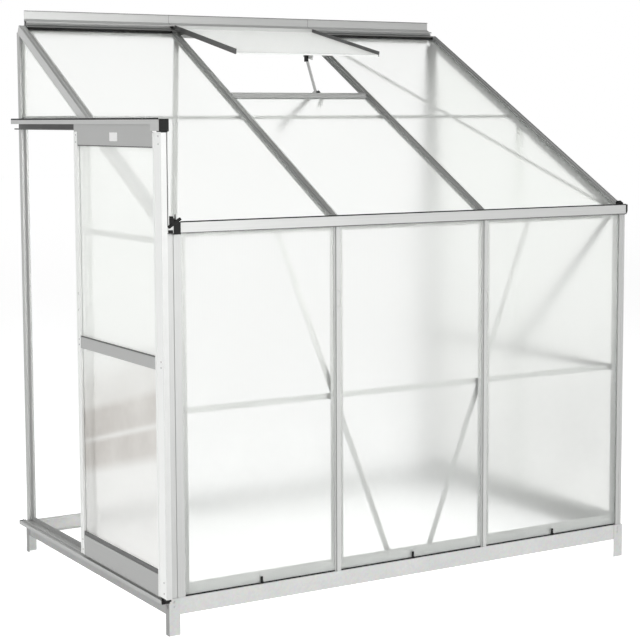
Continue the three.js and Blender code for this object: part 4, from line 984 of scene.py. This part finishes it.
# Track and threshold ends
# The front end of the door's track is closed by a stepped black cap, and a thin black strip
# lies on the track's upper edge: painted reflection, the dark line that the edge shows. A black
# block on the threshold's end keeps the door's foot in.
bm = bmesh.new()
cap_front = cad_low.y + play
cap_under = 0.001
cap_over = 0.0012
cap_step = 0.0024
cap_step_length = 0.012
cap_foot_drop = 0.0032
cap_foot_length = 0.022
cap_foot_insets = (0.002, 0.004)
add_soft_block(
    bm, (track_low.x + play, cap_front, track_low.z - cap_under),
    (track_high.x + play, track_low.y - play, track_high.z + cap_over), fine_edge,
)
add_soft_block(
    bm, (track_low.x + play, cap_front, track_high.z + play),
    (track_high.x, track_low.y + cap_step_length, track_high.z + cap_step), fine_edge,
)
add_soft_block(
    bm, (track_low.x + cap_foot_insets[0], cap_front, track_low.z - cap_foot_drop),
    (track_high.x - cap_foot_insets[1], track_low.y + cap_foot_length, track_low.z - play), fine_edge,
)
new_cap("track_cap_front", bm)
# Painted reflection: a thin black strip along the track's upper edge.
edge_line_height = 0.0056
edge_line_width = 0.0050
edge_line_start = 0.0125
bm = bmesh.new()
add_soft_block(
    bm, (track_low.x + play, track_low.y + edge_line_start, track_high.z + play),
    (track_low.x + edge_line_width, track_high.y, track_high.z + edge_line_height), fine_edge,
)
new_cap("track_edge_shade", bm)
threshold_low, threshold_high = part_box("threshold")
front_cap_from = Vector((0.002, -0.0035, -0.001))
front_cap_to = Vector((0.031, -play, 0.019))
back_cap_from = Vector((-0.0005, play, -0.001))
back_cap_to = Vector((0.026, 0.0034, 0.015))
bm = bmesh.new()
add_soft_block(bm, threshold_low + front_cap_from, threshold_low + front_cap_to, soft_edge)
new_cap("threshold_cap_front", bm)
threshold_end = Vector((threshold_low.x, threshold_high.y, threshold_low.z))
bm = bmesh.new()
add_soft_block(bm, threshold_end + back_cap_from, threshold_end + back_cap_to, soft_edge)
new_cap("threshold_cap_back", bm)

# Door seals
# Grey strips lie over the edges of the door's panels along the rails: a broad rubber seal on the
# bottom rail, and narrow strips on the other two, which are painted shade lines along those
# rails. A black block guides the door's front foot.
leaf_low, leaf_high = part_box("door_stile_front")
back_low, back_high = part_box("door_stile_back")
top_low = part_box("door_rail_top")[0]
middle_low, middle_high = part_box("door_rail_middle")
bottom_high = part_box("door_rail_bottom")[1]
door_top = leaf_high.z
rail_face = middle_low.x
panel_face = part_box("door_panel_lower")[0].x
seal_and_shade_grey = moulded("grey_seal_and_shade", tone_pair(0.20, 0.15))
rail_ends = (middle_low.y + play, middle_high.y - play)
narrow_shade_line = 0.0035
broad_seal = 0.0135
top_shade_drop = 0.0038
seal_inset = 0.001
bm = bmesh.new()
# The narrow strips are painted shade lines along the top and middle rails; the broad one on the bottom
# rail is a rubber seal.
for bottom, height in (
    (bottom_high.z, broad_seal),
    (middle_high.z, narrow_shade_line),
    (top_low.z - top_shade_drop, narrow_shade_line),
):
    add_soft_block(
        bm, (rail_face + seal_inset, rail_ends[0], bottom + play),
        (panel_face - play, rail_ends[1], bottom + height), fine_edge,
    )
new_piece("door_seal_and_shade_lines", bm, seal_and_shade_grey, "door")
bm = bmesh.new()
foot_from = Vector((0.0030, 0.0010, -0.0075))
foot_inset = 0.002
foot_length = 0.046
foot_to = (leaf_high.x - foot_inset, leaf_low.y + foot_length, leaf_low.z - play)
add_soft_block(bm, leaf_low + foot_from, foot_to, soft_edge)
new_piece("door_foot_block", bm, black, "door")

# Door screws and label
# Pan-head screws join the rails to the stiles from outside. The top rail carries a small
# white label, left blank here.


screw_radius = 0.0032
crown_radius = screw_radius * 0.72
screw_height = screw_radius * 0.55
recess_inset = screw_radius * 0.4
recess_depth = screw_height * 0.6


def add_screw(bm, place, axis):
    """A pan-head screw with a round recess, seated on a face."""
    seat = Matrix.Translation(place) @ along_axis(axis)
    head = add_round(bm, 20, screw_radius, crown_radius, 0, screw_height, seat)
    outward = Vector(axis).normalized()
    faces = dict.fromkeys(face for vert in head for face in vert.link_faces)
    lid = max(faces, key=lambda face: face.calc_center_median().dot(outward))
    bmesh.ops.inset_individual(bm, faces=[lid], thickness=recess_inset, depth=0)
    bmesh.ops.translate(bm, verts=list(lid.verts), vec=-outward * recess_depth)


stile_grip = 0.002
screw_face = leaf_low.x + stile_grip
screw_inset = 0.021
screw_heights = [
    door_top - 0.011, door_top - 0.036,
    middle_low.z + 0.010, middle_high.z - 0.010,
    leaf_low.z + 0.016, leaf_low.z + 0.052,
]
bm = bmesh.new()
for height in screw_heights:
    for y in (leaf_low.y + screw_inset, (back_low.y + back_high.y) / 2):
        add_screw(bm, (screw_face, y, height), (-1, 0, 0))
new_piece("door_screws", bm, zinc, "door")

label_material, tree, shader = new_material("label_vinyl", roughness=0.35, metallic=0)
coordinates = object_point(tree)
label_tones = [(0.99, 0.99, 0.985, 1), (0.94, 0.94, 0.935, 1)]
tone = place_patches(tree, coordinates, label_tones, patch=40, grain=1200, share=0.4)
tree.links.new(tone.outputs["Color"], shader.inputs["Base Color"])
bump(tree, shader, tone.outputs["Mask"], strength=0.1, distance=0.0001)
label_drop = 0.0155
label_y = -0.291
label_gap = Vector((0.0001, 0, 0))
label_proud = Vector((0.0005, 0, 0))
label_centre = Vector((rail_face, label_y, door_top - label_drop))
label_half = Vector((0, 0.032, 0.0145))
bm = bmesh.new()
verts = add_block(
    bm, label_centre - label_half - label_proud,
    label_centre + label_half - label_gap,
)
short = [e for e in edges_of(verts) if abs(e.verts[0].co.x - e.verts[1].co.x) > play]
soften(bm, short, width=0.003, segments=4)
new_piece("door_label", bm, label_material, "door")

# Wire clips
# Bowed clips of spring wire that press the panels into the bars. Each lies over a bar with its
# two feet on the panel beside it.
wire_radius = 0.0009
bow = [
    (-1.0, -0.75, 0.00), (-0.3, 0.16, 0.06), (0.5, 0.16, 0.15), (0.88, -0.30, 0.27),
    (1.0, -0.70, 0.50), (0.88, -0.30, 0.73), (0.5, 0.16, 0.85), (-0.3, 0.16, 0.94), (-1.0, -0.75, 1.00),
]
nose_rise = 0.010


def wire_clips(name, body, clips):
    """Clips as (place of the lower foot on the nose, across, outward, half width, length)."""
    curve = bpy.data.curves.new(name, "CURVE")
    curve.dimensions = "3D"
    curve.bevel_depth = wire_radius
    curve.bevel_resolution = 2
    curve.use_fill_caps = True
    curve.materials.append(zinc)
    for place, across, outward, half, length in clips:
        spline = curve.splines.new("NURBS")
        spline.points.add(len(bow) - 1)
        spline.order_u = 3
        spline.use_endpoint_u = True
        for point, (a, out, up) in zip(spline.points, bow):
            rise = out * nose_rise + wire_radius
            co = Vector(place) + Vector(across) * a * half + Vector(outward) * rise
            point.co = (*(co + Vector((0, 0, up * length))), 1)
    piece = bpy.data.objects.new(name, curve)
    scene.collection.objects.link(piece)
    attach(piece, body)


bars = {side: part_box(f"front_bar_{side}") for side in ("left", "right")}
bar_centres = {side: (low.x + high.x) / 2 for side, (low, high) in bars.items()}
post_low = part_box("wall_post_left")[0]
wire_clips("frame_clips", "frame", [
    ((bar_centres["left"], front_line, 1.030), (1, 0, 0), (0, -1, 0), 0.011, 0.072),
    ((bar_centres["right"], front_line, 0.977), (1, 0, 0), (0, -1, 0), 0.011, 0.090),
    ((post_low.x, wall_line - 0.015, 1.811), (0, -1, 0), (-1, 0, 0), 0.013, 0.075),
])
wire_clips("door_clip", "door", [
    ((leaf_low.x + stile_grip, back_low.y + 0.012, 1.001), (0, -1, 0), (-1, 0, 0), 0.009, 0.072),
])

# Roof vent
# A frame of bars round a panel, hung in the wall plate. Its side bars are painted near-black,
# painted shade on the vent's sides, and its front edge is a pale aluminium strip, painted light
# for the lit front rail. The stay is pinned to it in a black joint and stands in a black foot.
edge_wall = 0.004
vent_metal = aluminium("aluminium_vent", slope_lines, bright, metallic=0.3)
# Painted shade: the vent frame's side bars get near-black tones.
side_bar_shade = tone_pair(0.11, 0.07)
tone_region(vent_metal, [("X", "below", vent_low.x + edge_wall + play)], side_bar_shade)
tone_region(vent_metal, [("X", "above", vent_high.x - edge_wall - play)], side_bar_shade)
wear(["vent_frame"], vent_metal)
vent_tilt = math.radians(16.8)
vent_pitch = roof_pitch - vent_tilt
vent_down = Vector((0, -math.cos(vent_pitch), -math.sin(vent_pitch)))
vent_out = Vector((0, -math.sin(vent_pitch), math.cos(vent_pitch)))
hinge = roof_place(0, -hinge_rise, hinge_distance)
vent_length = 0.539
edge_bottom = -0.0103
edge_top = -0.0040
edge_thick = 0.0012
# Painted light: the vent's front edge strip gets a pale tone for the lit front rail.
lit_edge_metal = aluminium("aluminium_lit_edge", long_lines, pale, metallic=0.1)
bm = bmesh.new()
verts = add_block(
    bm, (vent_low.x + edge_wall + play, vent_length + play / 2, edge_bottom),
    (vent_high.x - edge_wall - play, vent_length + edge_thick, edge_top),
)
tilt = Matrix((
    (1, 0, 0, hinge.x),
    (0, vent_down.y, vent_out.y, hinge.y),
    (0, vent_down.z, vent_out.z, hinge.z),
    (0, 0, 0, 1),
))
bmesh.ops.transform(bm, matrix=tilt, verts=verts)
edge_round = 0.0003
soften(bm, edges_of(verts), width=edge_round, segments=1)
new_piece("vent_front_edge", bm, lit_edge_metal, "vent")

lug_face = Vector((0.0450, 0.1878, 1.9166))
bm = bmesh.new()
joint_from = Vector((-0.0080, -0.0320, -0.0260))
joint_to = Vector((-play, -0.0120, 0.0060))
add_soft_block(bm, lug_face + joint_from, lug_face + joint_to, soft_edge)
new_piece("stay_joint", bm, black, "vent")
foot_low = (0.0960, 0.1812, 1.7600)
foot_high = (0.1105, 0.1848, 1.7790)
bm = bmesh.new()
add_soft_block(bm, foot_low, foot_high, soft_edge)
new_cap("stay_foot", bm)

# Bolts inside
# The girts, braces and purlin are held to the bars by square-headed bolts that slide in the
# bars' slots; their nuts sit on the inner side of each crossing.
end_inset = 0.014
tip_inset = 0.016
side_inset = 0.012
girt_low, girt_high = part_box("front_girt")
girt_height = (girt_low.z + girt_high.z) / 2
bm = bmesh.new()
for x in (girt_low.x + end_inset, *bar_centres.values(), girt_high.x - end_inset):
    add_nut(bm, (x, girt_high.y, girt_height), (0, 1, 0))
for side, outward in (("left", -1), ("right", 1)):
    low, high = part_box(f"front_brace_{side}")
    ends = (low.x, high.x) if outward < 0 else (high.x, low.x)
    add_nut(bm, (ends[0] - outward * side_inset, high.y, high.z - tip_inset), (0, 1, 0))
    add_nut(bm, (ends[1] + outward * side_inset, high.y, low.z + tip_inset), (0, 1, 0))
new_piece("bracing_nuts_front", bm, zinc, "frame")

bm = bmesh.new()
girt_low, girt_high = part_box("gable_girt_right")
bar_low, bar_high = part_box("gable_bar_right")
for y in (girt_low.y + end_inset, (bar_low.y + bar_high.y) / 2, girt_high.y - end_inset):
    add_nut(bm, (girt_low.x, y, girt_height), (-1, 0, 0))
low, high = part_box("gable_brace_right")
brace_inset = 0.018
add_nut(bm, (low.x, low.y + brace_inset, high.z - tip_inset), (-1, 0, 0))
add_nut(bm, (low.x, high.y - brace_inset, low.z + tip_inset), (-1, 0, 0))
new_piece("bracing_nuts_right", bm, zinc, "frame")

bm = bmesh.new()
rail_low, rail_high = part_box("gable_rail_left")
for y in (rail_low.y + end_inset, rail_high.y - end_inset):
    add_nut(bm, (rail_high.x, y, (rail_low.z + rail_high.z) / 2), (1, 0, 0))
new_piece("bracing_nuts_left", bm, zinc, "frame")

bm = bmesh.new()
purlin_low, purlin_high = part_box("purlin")
purlin_inside = 0.033
purlin_share = 0.5233
purlin_distance = purlin_share * roof_length
inward = roof_place(0, 1, 0) - roof_place(0, 0, 0)
for x in (purlin_low.x + end_inset, *bar_centres.values(), purlin_high.x - end_inset):
    add_nut(bm, roof_place(x, purlin_inside, purlin_distance), inward)
new_piece("bracing_nuts_roof", bm, zinc, "frame")

# Sizes
# The CAD model's box and the dressed model's box.
low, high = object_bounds()
